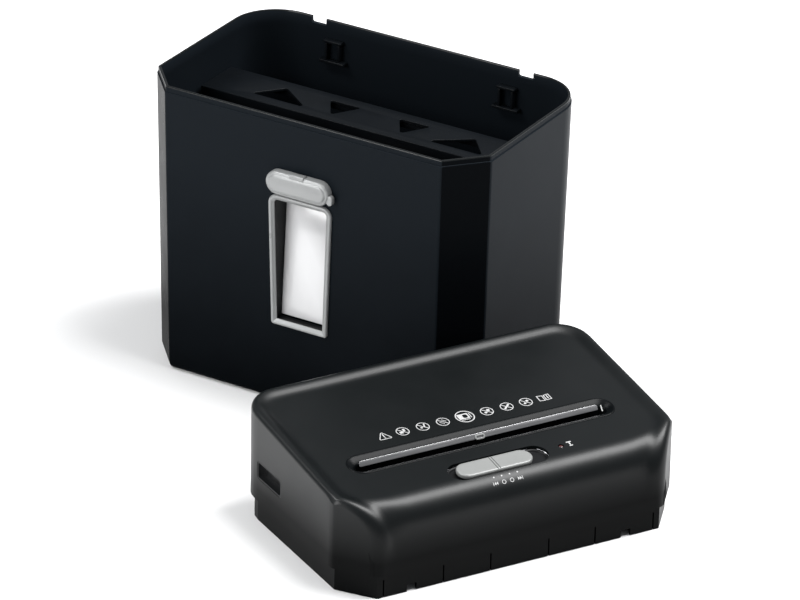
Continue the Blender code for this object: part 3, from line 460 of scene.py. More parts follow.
def flat_plate(loops, low, high, bevel=0.0003, resolution=2):
    """A flat outline, with further loops as holes, thickened from z = low to z = high with rounded edges."""
    curve = bpy.data.curves.new("outline", "CURVE")
    curve.dimensions = "2D"
    curve.fill_mode = "BOTH"
    curve.extrude = (high - low) / 2 - bevel
    curve.bevel_depth = bevel
    curve.bevel_resolution = resolution
    curve.offset = -bevel
    for loop in loops:
        spline = curve.splines.new("POLY")
        spline.points.add(len(loop) - 1)
        for point, (x, y) in zip(spline.points, loop):
            point.co = (x, y, 0, 1)
        spline.use_cyclic_u = True
    shape = bpy.data.objects.new("outline", curve)
    bpy.context.scene.collection.objects.link(shape)
    graph = bpy.context.evaluated_depsgraph_get()
    mesh = bpy.data.meshes.new_from_object(shape.evaluated_get(graph))
    bpy.data.objects.remove(shape)
    bpy.data.curves.remove(curve)
    bm = bmesh.new()
    bm.from_mesh(mesh)
    bmesh.ops.remove_doubles(bm, verts=bm.verts, dist=2e-6)
    bmesh.ops.translate(bm, vec=(0, 0, (low + high) / 2), verts=bm.verts)
    bmesh.ops.recalc_face_normals(bm, faces=bm.faces)
    bm.to_mesh(mesh)
    bm.free()
    return mesh


def block(low, high, bevel=0.0005, segments=3):
    """A box between two corners with rounded edges."""
    bm = bmesh.new()
    bmesh.ops.create_cube(bm, size=1.0)
    size = [high[i] - low[i] for i in range(3)]
    bmesh.ops.scale(bm, vec=size, verts=bm.verts)
    bmesh.ops.translate(bm, vec=[(high[i] + low[i]) / 2 for i in range(3)], verts=bm.verts)
    if bevel:
        bmesh.ops.bevel(bm, geom=bm.edges[:], offset=bevel, segments=segments, affect="EDGES", profile=0.5)
    mesh = bpy.data.meshes.new("block")
    bm.to_mesh(mesh)
    bm.free()
    return mesh


def joined(meshes):
    """Several closed meshes as one mesh of separate bodies."""
    bm = bmesh.new()
    for mesh in meshes:
        bm.from_mesh(mesh)
    made = bpy.data.meshes.new("joined")
    bm.to_mesh(made)
    bm.free()
    return made


def with_modifier(mesh, kind, **settings):
    """The mesh after a modifier: a mesh among its settings is the one that it works with."""
    shape = bpy.data.objects.new("shape", mesh)
    bpy.context.scene.collection.objects.link(shape)
    helpers = []
    modifier = shape.modifiers.new(kind, kind)
    for name, value in settings.items():
        if isinstance(value, bpy.types.Mesh):
            value = bpy.data.objects.new("helper", value)
            bpy.context.scene.collection.objects.link(value)
            helpers.append(value)
        setattr(modifier, name, value)
    graph = bpy.context.evaluated_depsgraph_get()
    made = bpy.data.meshes.new_from_object(shape.evaluated_get(graph))
    for helper in [shape, *helpers]:
        bpy.data.objects.remove(helper)
    return made


def cut_by(mesh, cutter):
    """The mesh without what the cutter covers."""
    return with_modifier(mesh, "BOOLEAN", operation="DIFFERENCE", solver="EXACT", object=cutter)


# ---- Bin ----
def bin_loop(z, inset):
    """The bin's outline at this height, moved in by inset."""
    front, side = BIN_FRONT / 2, BIN_WIDTH / 2
    corners = [(-front, 0), (front, 0), (side, BIN_CHAMFER), (side, BIN_DEPTH), (-side, BIN_DEPTH),
               (-side, BIN_CHAMFER)]
    at_front, at_side = BIN_FRONT_RADII
    radii = (at_front, at_front, at_side, BIN_REAR_RADIUS, BIN_REAR_RADIUS, at_side)
    outline = rounded(corners, radii, inset, steps=12)
    share = 1 - (BIN_HEIGHT - z) / BIN_HEIGHT * BIN_DRAFT
    middle = BIN_DEPTH / 2
    return [(x * share, middle + (y - middle) * share, z) for x, y in outline]


def front_y(z):
    """Where the leaning front's outer face stands at this height."""
    return BIN_DEPTH / 2 * (BIN_HEIGHT - z) / BIN_HEIGHT * BIN_DRAFT


def window_loop(inset, depth_at, raised=0.0):
    """The window's outline on the front: depth_at gives how far behind the face it lies at each height."""
    (low, high), (narrow, wide) = WINDOW_Z, WINDOW_WIDTHS
    low += raised
    bottom, top = WINDOW_RADII
    corners = [(-narrow / 2, low), (narrow / 2, low), (wide / 2, high), (-wide / 2, high)]
    outline = rounded(corners, (bottom, bottom, top, top), inset, steps=8)
    return [(x, front_y(z) + depth_at(z), z) for x, z in outline]


def recess_depth(z):
    """How far behind the front the pane lies at this height."""
    low, high = WINDOW_Z
    return RECESS_DEPTH[0] + (RECESS_DEPTH[1] - RECESS_DEPTH[0]) * (z - low) / (high - low)


def make_bin():
    """The bin's shell: up its outside, over its rim and down its inside."""
    top, step = BIN_HEIGHT, BIN_HEIGHT - RIM_STEP_HEIGHT
    wall, lip = BIN_WALL, RIM_STEP + BIN_WALL
    levels = [(0, 0.0060), (0.0003, 0.0046), (0.0010, 0.0031), (0.0022, 0.0016), (0.0038, 0.0006),
              (0.0060, 0), (0.060, 0), (0.120, 0), (0.190, 0), (step - 0.0004, 0), (step, 0.0003),
              (step + 0.0003, RIM_STEP), (top - 0.0010, RIM_STEP), (top - 0.0003, RIM_STEP + 0.0003),
              (top, RIM_STEP + 0.0010), (top, lip - 0.0008), (top - 0.0002, lip - 0.0003),
              (top - 0.0008, lip), (step - 0.006, lip), (step - 0.009, wall), (0.120, wall), (0.010, wall),
              (0.0055, wall + 0.0010), (0.0032, wall + 0.0032), (wall, wall + 0.0065)]
    shell = skin([bin_loop(z, inset) for z, inset in levels], caps=(True, True))
    width, depth = RIM_NOTCH
    cutters = []
    for x in (-RIM_NOTCH_X, RIM_NOTCH_X):
        cutters.append(block((x - width / 2, BIN_DEPTH - 0.02, top - depth),
                             (x + width / 2, BIN_DEPTH + 0.02, top + 0.02), bevel=0.0006))
    hole = WINDOW_BAR * 0.56
    loops = [window_loop(hole, lambda z: -0.01), window_loop(hole, lambda z: 0.02)]
    cutters.append(skin(loops, caps=(True, True)))
    shell = cut_by(shell, joined(cutters))
    moulding = finished("bin_moulding", shell, "bin", "black_plastic", ["bin_shell"], BIN_FRAME, 30, BIN_LOOK)
    moulding.data.materials.append(LOOKS["black_gloss"])
    moulding.data.materials.append(SHADED_CHAMFER_LOOK)
    to_bin = BIN_FRAME.inverted()
    for face in moulding.data.polygons:
        way = to_bin.to_3x3() @ face.normal
        in_front = (to_bin @ face.center).y < BIN_DEPTH / 2
        if face.center.z > top - RIM_EDGE:
            face.material_index = 1
        # Painted shade: the front chamfer faces take the darker copy of the bin's plastic.
        elif in_front and way.y < -0.5 and abs(way.x) > 0.5:
            face.material_index = 2
    make_catches()
    make_brace()
    make_window()


def make_catches():
    """Two catches on the bin's back wall: a ledge, two posts on it and a head across them."""
    back = BIN_DEPTH - BIN_WALL - front_y(CATCH_Z) - 0.0008
    near, far = CATCH_POST_X
    ledge, head = CATCH_LEDGE / 2, CATCH_HEAD / 2
    top = CATCH_POST_TOP
    layout = [(-ledge, ledge, 0.0065, -0.0024, 0), (-far, -near, 0.0050, 0.0004, top),
              (near, far, 0.0050, 0.0004, top), (-head, head, 0.0056, top + 0.0005, top + 0.0028)]
    bars = []
    for x in (-CATCH_X, CATCH_X):
        for left, right, reach, low, high in layout:
            bars.append(block((x + left, back - reach, CATCH_Z + low), (x + right, back, CATCH_Z + high)))
    finished("bin_catches", joined(bars), "bin", "black_plastic", transform=BIN_FRAME)


def make_brace():
    """The shelf across the bin, with four triangular holes, a lip along its front and two ribs below."""
    front, back = BRACE_Y
    side = BIN_WIDTH / 2 - BIN_WALL - RIM_STEP - 0.0028
    low, high = front + BRACE_MARGIN, back - BRACE_MARGIN
    outer, inner = BRACE_HOLES_X
    loops = [[(-side, front), (side, front), (side, back), (-side, back)]]
    for sign in (-1, 1):
        big = [(sign * outer, low), (sign * inner, low), (sign * (outer - 0.020), high)]
        small = [(sign * (inner - 0.010), high), (sign * (inner - 0.040), high),
                 (sign * (inner - 0.025), low)]
        loops += [rounded(corners, (0.0018,) * 3, steps=4) for corners in (big, small)]
    plate = flat_plate(loops, BRACE_Z - BRACE_PLATE, BRACE_Z, bevel=0.0005)
    lip = block((-side, front - 0.0002, BRACE_Z - 0.0100), (side, front + 0.0022, BRACE_Z + 0.0002),
                bevel=0.0006)
    rib_low, rib_high = BRACE_Z - 0.0080, BRACE_Z - BRACE_PLATE - 0.0003
    ribs = [block((-side, y - 0.0008, rib_low), (side, y + 0.0008, rib_high), bevel=0.0003)
            for y in (low - 0.002, high + 0.002)]
    brace = joined([plate, lip, *ribs])
    finished("brace_moulding", brace, "bin", "black_plastic", ["bin_brace"], BIN_FRAME)


def make_window():
    """The trim round the window, the reveal behind it, and the pane at the back of the reveal."""
    profile = [(0, -0.0003), (0, -0.0014), (0.0004, -0.0022), (0.0011, -0.0027), (0.0021, -0.0027),
               (0.0030, -0.0022), (0.0036, -0.0016), (0.0044, -0.0013), (0.0050, -0.0008), (0.0050, -0.0003)]
    trim = skin([window_loop(inset, lambda z, d=depth: d) for inset, depth in profile], wrap=True)
    finished("window_trim", trim, "bin", "silver_plastic", ["window_frame"], BIN_FRAME, smooth=50)
    inner, outer = REVEAL_INSETS
    reveal = skin([window_loop(inner, lambda z: 0.0002), window_loop(inner, recess_depth),
                   window_loop(outer, recess_depth), window_loop(outer, lambda z: 0.0002)], wrap=True)
    finished("window_reveal", reveal, "bin", "dark_plastic", ["window_recess"], BIN_FRAME)
    pane = skin([window_loop(PANE_EDGE + inset, lambda z, d=depth: recess_depth(z) + d, raised=PANE_RISE)
                 for inset, depth in ((0.0005, -0.0012), (0, -0.0008), (0, 0.0010))], caps=(True, True))
    finished("window_glazing", pane, "bin", "clear_pane", ["window_pane"], BIN_FRAME)
    make_cap()


def make_cap():
    """The pill above the window, with a tab on its top edge and a lug at its right end."""
    length, width = CAP_SIZE
    profile = [(0, -0.0003), (0, -0.0056), (0.0003, -0.0064), (0.0009, -0.0070), (0.0020, -0.0073),
               (0.0026, -0.0074), (0.0029, -0.0078), (0.0035, -0.0083), (0.0046, -0.0086), (0.0064, -0.0085),
               (0.0082, -0.0081)]
    loops = []
    for inset, depth in profile:
        outline = stadium(length - 2 * inset, width - 2 * inset)
        loops.append([(x, front_y(CAP_Z + z) + depth, CAP_Z + z) for x, z in outline])
    face = front_y(CAP_Z)
    rim = CAP_Z + width / 2
    tab = block((-CAP_TAB_X, face - 0.0079, rim - 0.0030), (CAP_TAB_X, face - 0.0020, rim + 0.0011),
                bevel=0.0007)
    lug = flat_plate([stadium(0.0085, 0.0052)], -0.0022, 0.0022, bevel=0.0006)
    lug.transform(Matrix.Translation((length / 2 + 0.0008, face - 0.0042, CAP_Z - 0.0035))
                  @ Matrix.Rotation(pi / 2, 4, "X") @ Matrix.Rotation(pi / 2, 4, "Z"))
    button = joined([skin(loops, caps=(True, True)), tab, lug])
    finished("window_button", button, "bin", "silver_plastic", ["window_cap"], BIN_FRAME, smooth=50)


# ---- Head: cover ----
def smooth_step(value):
    value = min(max(value, 0.0), 1.0)
    return value * value * (3 - 2 * value)


def half_width(y):
    """Half of the head's width at this distance from its front."""
    corner = HEAD_REAR_RADIUS
    if y < HEAD_CHAMFER:
        return HEAD_FRONT / 2 + (HEAD_WIDTH - HEAD_FRONT) / 2 * y / HEAD_CHAMFER
    behind = y - (HEAD_DEPTH - corner)
    if behind > 0:
        return HEAD_WIDTH / 2 - corner + sqrt(max(corner ** 2 - behind ** 2, 0.0))
    return HEAD_WIDTH / 2


def edge_distance(x, y):
    """Distance from the cover's chamfers, sides and back, but not from its front."""
    x = abs(x)
    lean = (HEAD_WIDTH - HEAD_FRONT) / 2 / HEAD_CHAMFER
    chamfer = (HEAD_FRONT / 2 + lean * y - x) / sqrt(1 + lean * lean)
    corner = HEAD_REAR_RADIUS
    over_x, over_y = x - (HEAD_WIDTH / 2 - corner), y - (HEAD_DEPTH - corner)
    if over_x > 0 and over_y > 0:
        return min(chamfer, corner - hypot(over_x, over_y))
    soft = 0.004
    side = HEAD_WIDTH / 2 - x
    gap = max(soft - abs(side - chamfer), 0) / soft
    return min(min(side, chamfer) - gap * gap * soft / 4, HEAD_DEPTH - y)


def spread(step_list, total, count):
    """Steps in from an edge, close together there, and then even ones as far as the total."""
    last = step_list[-1]
    return step_list + [last + (total - last) * k / count for k in range(1, count + 1)]


EDGE_STEPS = [0, 0.0002, 0.0006, 0.0012, 0.0020, 0.0030, 0.0042, 0.0055, 0.0070, 0.0088, 0.0108, 0.0130,
              0.0155, 0.0185, 0.0220, 0.0280]


def make_cover_mesh():
    """The cover as a grid: rows from its back to the foot of its rolled front, columns from side to side."""
    half = HEAD_WIDTH / 2
    inward = spread(EDGE_STEPS, half, 14)
    columns = [-(1 - d / half) for d in inward] + [1 - d / half for d in reversed(inward[:-1])]
    rows = [("flat", HEAD_DEPTH - d) for d in EDGE_STEPS]
    rows += [("run", k / 22) for k in range(1, 23)]
    rows += [("roll", radians(90) * k / 24) for k in range(1, 25)]
    rows += [("face", k / 8) for k in range(1, 9)]
    start = HEAD_DEPTH - EDGE_STEPS[-1]
    outer = np.zeros((len(rows), len(columns), 3))
    for i, (kind, value) in enumerate(rows):
        for j, u in enumerate(columns):
            corner = smooth_step((abs(u) * half - ROLL_CORNER_X) / (half - ROLL_CORNER_X))
            roll = ROLL_DEPTH[0] + (ROLL_DEPTH[1] - ROLL_DEPTH[0]) * corner
            if kind == "flat":
                y = value
            elif kind == "run":
                y = start + (roll - start) * value
            else:
                y = roll * (1 - sin(value)) if kind == "roll" else 0.0
            z = HEAD_TOP - TOP_SLOPE * (HEAD_DEPTH - y)
            rolled = ROLL_DROP[0] + (ROLL_DROP[1] - ROLL_DROP[0]) * corner
            if kind == "roll":
                z -= rolled * (1 - cos(value))
            elif kind == "face":
                z -= rolled + (z - FACE_FOOT - rolled) * value
            outer[i, j] = (u * half_width(y), y, z)
    along = np.gradient(outer, axis=0)
    across = np.gradient(outer, axis=1)
    normals = np.cross(along, across)
    normals /= np.linalg.norm(normals, axis=2, keepdims=True) + 1e-12
    normals *= np.where(normals[:, :, 2:3] - normals[:, :, 1:2] < 0, -1.0, 1.0)
    surface = outer.copy()
    for i in range(len(rows)):
        for j, u in enumerate(columns):
            x, y, z = outer[i, j]
            distance = max(edge_distance(x, y), 0.0)
            dish = LIP * smooth_step((distance - DISH_FALL[0]) / DISH_FALL[1])
            dish *= smooth_step((z - DISH_FADE[0]) / DISH_FADE[1])
            drop = EDGE_RADIUS - sqrt(EDGE_RADIUS ** 2 - (EDGE_RADIUS - min(distance, EDGE_RADIUS)) ** 2)
            point = outer[i, j] - normals[i, j] * (dish + drop)
            point[1] = min(max(point[1], 0.0), HEAD_DEPTH)
            point[2] = max(point[2], FACE_FOOT - 0.002)
            point[0] = u * half_width(point[1])
            surface[i, j] = point
    return surface


def cover_shell(surface):
    """The grid with its walls down to the cover's lower edge."""
    rows, columns, _ = surface.shape
    points = [tuple(p) for p in surface.reshape(-1, 3)]
    faces = [(i * columns + j, i * columns + j + 1, (i + 1) * columns + j + 1, (i + 1) * columns + j)
             for i in range(rows - 1) for j in range(columns - 1)]
    rim = [i * columns for i in range(rows)] + [(rows - 1) * columns + j for j in range(1, columns)]
    rim += [i * columns + columns - 1 for i in range(rows - 2, -1, -1)] + list(range(columns - 2, 0, -1))
    count = len(rim)
    loops = [rim]
    for share in (0.5, 1.0):
        loop = []
        for index in rim:
            x, y, z = points[index]
            loop.append(len(points))
            points.append((x, y, z + (COVER_BOTTOM - z) * share))
        loops.append(loop)
    for upper, lower in zip(loops, loops[1:]):
        faces += [(upper[k], upper[(k + 1) % count], lower[(k + 1) % count], lower[k]) for k in range(count)]
    return mesh_from(points, faces)


def make_cover():
    """The cover with its openings. Returns a search tree of its outer surface, for the signs."""
    outer = cover_shell(make_cover_mesh())
    bm = bmesh.new()
    bm.from_mesh(outer)
    tree = BVHTree.FromBMesh(bm)
    bm.free()
    shell = with_modifier(outer, "SOLIDIFY", thickness=COVER_WALL, offset=-1)
    length, width = BEZEL_SIZE
    holes = [stadium(length - 0.004, width - 0.004), stadium(*RECESS_SIZE, centre=SLIDER_SPOT),
             circle(LED_RADIUS + 0.0003, LED_SPOT, 24)]
    cutters = [flat_plate([hole], -0.03, 0.03, bevel=0) for hole in holes]
    for cutter in cutters:
        cutter.transform(HEAD_FRAME.inverted() @ PANEL_FRAME)
    half = HEAD_WIDTH / 2
    for side in (-1, 1):
        near, far = sorted((side * (half - 0.012), side * (half + 0.02)))
        cutters.append(block((near, GRIP_Y[0], GRIP_Z[0]), (far, GRIP_Y[1], GRIP_Z[1]), bevel=0.0035,
                             segments=4))
    low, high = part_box("cord_gland")
    gland = HEAD_FRAME.inverted() @ ((low + high) / 2)
    bore = flat_plate([circle(GLAND_BORE, count=24)], -0.02, 0.02, bevel=0)
    bore.transform(Matrix.Translation((gland.x, HEAD_DEPTH, gland.z)) @ Matrix.Rotation(pi / 2, 4, "X"))
    shell = cut_by(shell, joined([*cutters, bore]))
    finished("head_cover", shell, "head", "black_gloss", ["top_cover"], HEAD_FRAME, 32, COVER_LOOK)
    return tree


# ---- Head: slot and controls ----
def make_slot():
    """The slot's trim, from the cover down to its throat, and the steel strip along the slot's back."""
    (long, wide), (slot_long, slot_wide) = BEZEL_SIZE, SLOT_SIZE
    profile = [(0.0, -0.0016), (0.0, -0.0004), (0.03, 0.0002), (0.09, 0.0006), (0.18, 0.0006),
               (0.32, 0.0000), (0.60, -0.0014), (0.86, -0.0028), (0.96, -0.0038), (1.0, -0.0050),
               (1.0, -THROAT_DEPTH), (0.82, -THROAT_DEPTH), (0.82, -0.0050), (0.60, -0.0034), (0.30, -0.0026)]
    loops = []
    for share, z in profile:
        outline = stadium(long - 0.0005 + (slot_long - long) * share,
                          wide - 0.0005 + (slot_wide - wide) * share, steps=18)
        loops.append([(x, y, z) for x, y in outline])
    trim = skin(loops, wrap=True)
    finished("slot_trim", trim, "head", "black_gloss", ["slot_bezel"], PANEL_FRAME, 50, BEZEL_LOOK)

    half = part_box("slot_lip_strip")[1].x - HEAD_X
    low, high = STRIP_Y
    outline = rounded([(-half, low), (half, low), (half, high), (-half, high)],
                      (0.0008, 0.0008, 0.0020, 0.0020), steps=5)
    strip = flat_plate([outline], -STRIP_THICK / 2, STRIP_THICK / 2, bevel=0.0002)
    lean = Matrix.Translation((0, 0.0029, -0.0028)) @ Matrix.Rotation(STRIP_LEAN, 4, "X")
    strip.transform(lean)
    finished("slot_strip", strip, "head", "steel", ["slot_lip_strip"], PANEL_FRAME, look=STRIP_LOOK)
    eye = flat_plate([stadium(0.0090, 0.0042, steps=8), stadium(0.0062, 0.0018, steps=8)], 0.0005, 0.0011,
                     bevel=0.0002)
    eye.transform(lean)
    finished("slot_strip_eye", eye, "head", "pale_silver", transform=PANEL_FRAME)
    mark = block((-0.0005, -0.0030, -0.0002), (0.0005, 0.0030, 0.0002), bevel=0.0001, segments=1)
    mark.transform(Matrix.Translation((slot_long / 2 - 0.0035, 0.0010, -0.0022))
                   @ Matrix.Rotation(radians(-12), 4, "Z") @ Matrix.Rotation(radians(20), 4, "X"))
    finished("slot_end_mark", mark, "head", "pale_silver", transform=PANEL_FRAME)


def make_slider():
    """The slider's bed, the knob with its stem through the bed's slot, and the indicator beside them."""
    length, width = RECESS_SIZE
    gap = 0.0003
    profile = [(gap, -0.0060), (gap, -0.0031), (gap + 0.0003, -0.0028), (0.0012, -0.0030), (0.0018, -0.0036),
               (0.0022, -0.0044)]
    loops = []
    for inset, z in profile:
        outline = stadium(length - 2 * inset, width - 2 * inset, SLIDER_SPOT, steps=16)
        loops.append([(x, y, z) for x, y in outline])
    middle, y = SLIDER_SPOT
    across, deep = STEM_SLOT[0] / 2, STEM_SLOT[1] / 2
    slot = block((middle - across, y - deep, -0.02), (middle + across, y + deep, 0), bevel=0.0006)
    bed = cut_by(skin(loops, caps=(True, True)), slot)
    finished("slider_tray", bed, "head", "dark_plastic", ["slider_bed"], PANEL_FRAME)

    low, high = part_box("mode_slider")
    x = (PANEL_FRAME.inverted() @ ((low + high) / 2)).x
    long, wide = SLIDER_SIZE
    profile = [(0.0002, -0.0024), (0.0, -0.0016), (0.0, 0.0000), (0.0003, 0.0007), (0.0009, 0.0011),
               (0.0018, 0.0012), (0.0040, 0.0012)]
    loops = []
    for inset, z in profile:
        outline = stadium(long - 2 * inset, wide - 0.001 - 2 * inset, (x, y), steps=20)
        loops.append([(*point, z) for point in outline])
    half = KNOB_GROOVE / 2
    grooves = [block((x + at - half, -0.06, 0.0004), (x + at + half, 0.0, 0.01), bevel=0)
               for at in KNOB_GROOVES_X]
    knob = cut_by(skin(loops, caps=(True, True)), joined(grooves))
    across, deep = STEM_SIZE[0] / 2, STEM_SIZE[1] / 2
    stem = block((x - across, y - deep, -0.0098), (x + across, y + deep, -0.0026), bevel=0.0002)
    finished("slider_knob", joined([knob, stem]), "slider", "pale_silver", ["mode_slider"], PANEL_FRAME)

    loops = []
    for share, z in ((0.95, -0.0070), (0.95, -0.0008), (0.80, -0.0004), (0.45, -0.0002)):
        loops.append([(*point, z) for point in circle(LED_RADIUS * share, LED_SPOT, 24)])
    dome = skin(loops, caps=(True, True))
    finished("indicator_dome", dome, "head", "lens_red", ["indicator_lens"], PANEL_FRAME)


def make_grips():
    """Each grip is a pocket behind an opening with rounded corners."""
    for side, sign in (("left", -1), ("right", 1)):
        low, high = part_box("grip_" + side)
        mouth, floor = (low.x, high.x) if sign < 0 else (high.x, low.x)
        corners = [(low.y, low.z), (high.y, low.z), (high.y, high.z), (low.y, high.z)]
        layout = [(floor + sign * 0.0014, 0.0030), (floor + sign * 0.0034, 0.0016), (mouth, 0.0013),
                  (mouth, 0.0), (floor + sign * 0.0020, 0.0), (floor, 0.0012)]
        loops = []
        for x, inset in layout:
            outline = rounded(corners, (GRIP_CORNER,) * 4, inset, steps=6)
            loops.append([(x, y, z) for y, z in outline])
        pocket = skin(loops, caps=(True, True))
        finished("grip_pocket_" + side, pocket, "head", "dark_plastic", ["grip_" + side], smooth=45)


# ---- Inner works ----
def disc_outline(radius, turned):
    """A cutter disc's outline: each tooth is a long arc that ends in a hook."""
    root = radius - TOOTH_DEPTH
    profile = [(share, radius) for share in (0.0, 0.2, 0.4, 0.6, 0.72)]
    profile += [(0.80, root), (0.90, root + TOOTH_DEPTH * 0.1), (0.97, root + TOOTH_DEPTH * 0.7)]
    outline = []
    for tooth in range(TOOTH_COUNT):
        for share, r in profile:
            angle = turned + 2 * pi * (tooth + share) / TOOTH_COUNT
            outline.append((r * cos(angle), r * sin(angle)))
    return outline


def make_cutters():
    """Each cutter is a shaft with toothed discs, each turned a little from the one before."""
    journal, barrel = SHAFT_RADII
    edge = SIDE_FRAME_X - 0.0045
    for side, shift in (("front", -0.25), ("rear", 0.25)):
        low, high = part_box(side + "_cutter")
        radius = (high.z - low.z) / 2
        axis = ((low.y + high.y) / 2, (low.z + high.z) / 2)
        shaft = [(journal, low.x), (journal, HEAD_X - edge), (barrel, HEAD_X - edge), (barrel, HEAD_X + edge),
                 (journal, HEAD_X + edge), (journal, high.x)]
        loops = [[(x, axis[0] + y, axis[1] + z) for y, z in circle(r, count=36)] for r, x in shaft]
        bodies = [skin(loops, caps=(True, True))]
        for i in range(DISC_COUNT):
            outline = disc_outline(radius, i * DISC_STAGGER)
            disc = flat_plate([outline], -DISC_THICK / 2, DISC_THICK / 2, bevel=0.0002, resolution=1)
            x = HEAD_X + (i - (DISC_COUNT - 1) / 2 + shift) * DISC_PITCH
            disc.transform(Matrix.Translation((x, *axis)) @ Matrix.Rotation(pi / 2, 4, "Y"))
            bodies.append(disc)
        cutter = joined(bodies)
        name = side + "_cutter"
        finished(name + "_teeth", cutter, name, "cutter_steel", [name], smooth=30)


def refine_rest():
    """Gives every other node its own fine mesh: flat faces made whole and sharp edges rounded off."""
    for name, part in frame["nodes"].items():
        if name in STOOD_FOR:
            continue
        bm = bmesh.new()
        bm.from_mesh(part.data)
        bmesh.ops.transform(bm, matrix=part.matrix_world, verts=bm.verts)
        bmesh.ops.dissolve_limit(bm, angle_limit=radians(0.5), verts=bm.verts, edges=bm.edges)
        mesh = bpy.data.meshes.new("fine")
        bm.to_mesh(mesh)
        bm.free()
        mesh = with_modifier(mesh, "BEVEL", width=FINE_EDGE.get(name, PLAIN_EDGE), segments=2,
                             limit_method="ANGLE", angle_limit=radians(35))
        # The housing takes the cover's look, its painted shade included.
        look = COVER_LOOK if name == "base_housing" else None
        finished(name + "_fine", mesh, body_of(part)[0], SLOT_OF[name], [name], look=look)


# ---- Printed signs ----
def bar(centre, length, width, angle=0.0):
    """A straight stroke as an outline."""
    along = Vector((cos(angle), sin(angle))) * length / 2
    across = Vector((-sin(angle), cos(angle))) * width / 2
    middle = Vector(centre)
    return [tuple(middle + p) for p in (-along - across, along - across, along + across, -along + across)]


def ring(centre, radius, line, count=40):
    return [circle(radius, centre, count), circle(radius - line, centre, count)]


def warning_sign(x):
    """A triangle round a stroke and a dot."""
    row = SIGN_ROW
    corners = [(x - 0.0062, row - 0.0048), (x + 0.0062, row - 0.0048), (x, row + 0.0058)]
    radii = (0.0012,) * 3
    return [[rounded(corners, radii, steps=4), rounded(corners, radii, SIGN_LINE, steps=4)],
            [bar((x, row + 0.0004), 0.0042, 0.0009, pi / 2)], [circle(0.0006, (x, row - 0.0030), 12)]]


def struck_signs():
    """Six rings with a slanting stroke across each, and then two plain shapes inside each."""
    shapes = []
    stroke = 2 * (SIGN_RADIUS - SIGN_LINE) - 0.0002
    for x in (-0.0550, -0.0370, -0.0190, 0.0206, 0.0385, 0.0560):
        shapes += [ring((x, SIGN_ROW), SIGN_RADIUS, SIGN_LINE),
                   [bar((x, SIGN_ROW), stroke, SIGN_LINE, radians(-45))]]
    high, low = SIGN_ROW + 0.0014, SIGN_ROW - 0.0014
    inside = [bar((-0.0566, low + 0.0002), 0.0030, 0.0026), bar((-0.0534, high), 0.0020, 0.0030),
              bar((-0.0352, high), 0.0044, 0.0012, radians(75)), circle(0.0010, (-0.0386, low + 0.0002), 12),
              bar((-0.0176, high), 0.0042, 0.0006, radians(-45)),
              bar((-0.0204, low), 0.0042, 0.0006, radians(-45)),
              circle(0.0015, (0.0222, high - 0.0002), 14), circle(0.0012, (0.0190, low), 14),
              bar((0.0401, high), 0.0038, 0.0016, radians(45)),
              bar((0.0369, low), 0.0038, 0.0016, radians(45)),
              bar((0.0576, high - 0.0001), 0.0022, 0.0022, radians(20)), circle(0.0013, (0.0545, low), 5)]
    return shapes + [[outline] for outline in inside]


def middle_sign(x):
    """A larger ring round a rounded sheet with a hole in it and two strokes along its sides."""
    row = SIGN_ROW
    sheet = [(x - 0.0058, row - 0.0030), (x + 0.0036, row - 0.0030), (x + 0.0036, row + 0.0040),
             (x - 0.0058, row + 0.0040)]
    hole = [(x - 0.0016, row - 0.0020), (x + 0.0024, row - 0.0020), (x + 0.0024, row + 0.0028),
            (x - 0.0016, row + 0.0028)]
    return [ring((x, row), 0.0080, 0.0009, 48),
            [rounded(sheet, (0.0006,) * 4, steps=3), rounded(hole, (0.0014,) * 4, steps=4)],
            [bar((x + 0.0048, row + 0.0003), 0.0066, SIGN_LINE, pi / 2)],
            [bar((x - 0.0009, row - 0.0041), 0.0080, SIGN_LINE)]]


def booklet_sign(x):
    """An open booklet with a stroke on its right page."""
    row = SIGN_ROW
    left = [(x - 0.0055, row - 0.0034), (x - 0.0004, row - 0.0040), (x - 0.0004, row + 0.0034),
            (x - 0.0055, row + 0.0040)]
    right = [(x + 0.0004, row - 0.0040), (x + 0.0055, row - 0.0034), (x + 0.0055, row + 0.0040),
             (x + 0.0004, row + 0.0034)]
    pages = [[page, rounded(page, (0.0002,) * 4, SIGN_LINE, steps=1)] for page in (left, right)]
    return [*pages, [bar((x + 0.0030, row), 0.0044, 0.0010, pi / 2)]]


def slider_marks():
    """Four dots under the slider and, below them, two rings between double arrows to both ends."""
    at = [MARK_FIRST_X + k * MARK_PITCH for k in range(4)]
    row = MARK_ROW_Y
    shapes = [[circle(0.0007, (x, MARK_DOTS_Y), 12)] for x in at]
    shapes += [ring((x, row), 0.0018, 0.0005, 20) for x in at[1:3]]
    for sign, x in ((-1, at[0]), (1, at[3])):
        for shift in (-0.0009, 0.0009):
            tip = x + shift + sign * 0.0009
            foot = tip - sign * 0.0017
            shapes.append([[(foot, row - 0.0014), (tip, row), (foot, row + 0.0014)]])
        shapes.append([bar((x + sign * 0.0024, row), 0.0028, 0.0005, pi / 2)])
    return shapes


def indicator_mark():
    """Three strokes beside the indicator."""
    x, y = LED_SPOT[0] + 0.0080, LED_SPOT[1] + 0.0004
    return [[bar((x, y + 0.0022), 0.0044, 0.0012)], [bar((x, y - 0.0002), 0.0032, 0.0012, pi / 2)],
            [bar((x, y - 0.0028), 0.0030, 0.0010)]]


def sign_shapes():
    """The row of plain signs above the slot and the marks round the controls, as outlines and holes."""
    return [*warning_sign(-0.0720), *struck_signs(), *middle_sign(0.0007), *booklet_sign(0.0726),
            *slider_marks(), *indicator_mark()]


def counter_clockwise(loop):
    area = sum(a[0] * b[1] - b[0] * a[1] for a, b in zip(loop, loop[1:] + loop[:1]))
    return loop if area > 0 else loop[::-1]


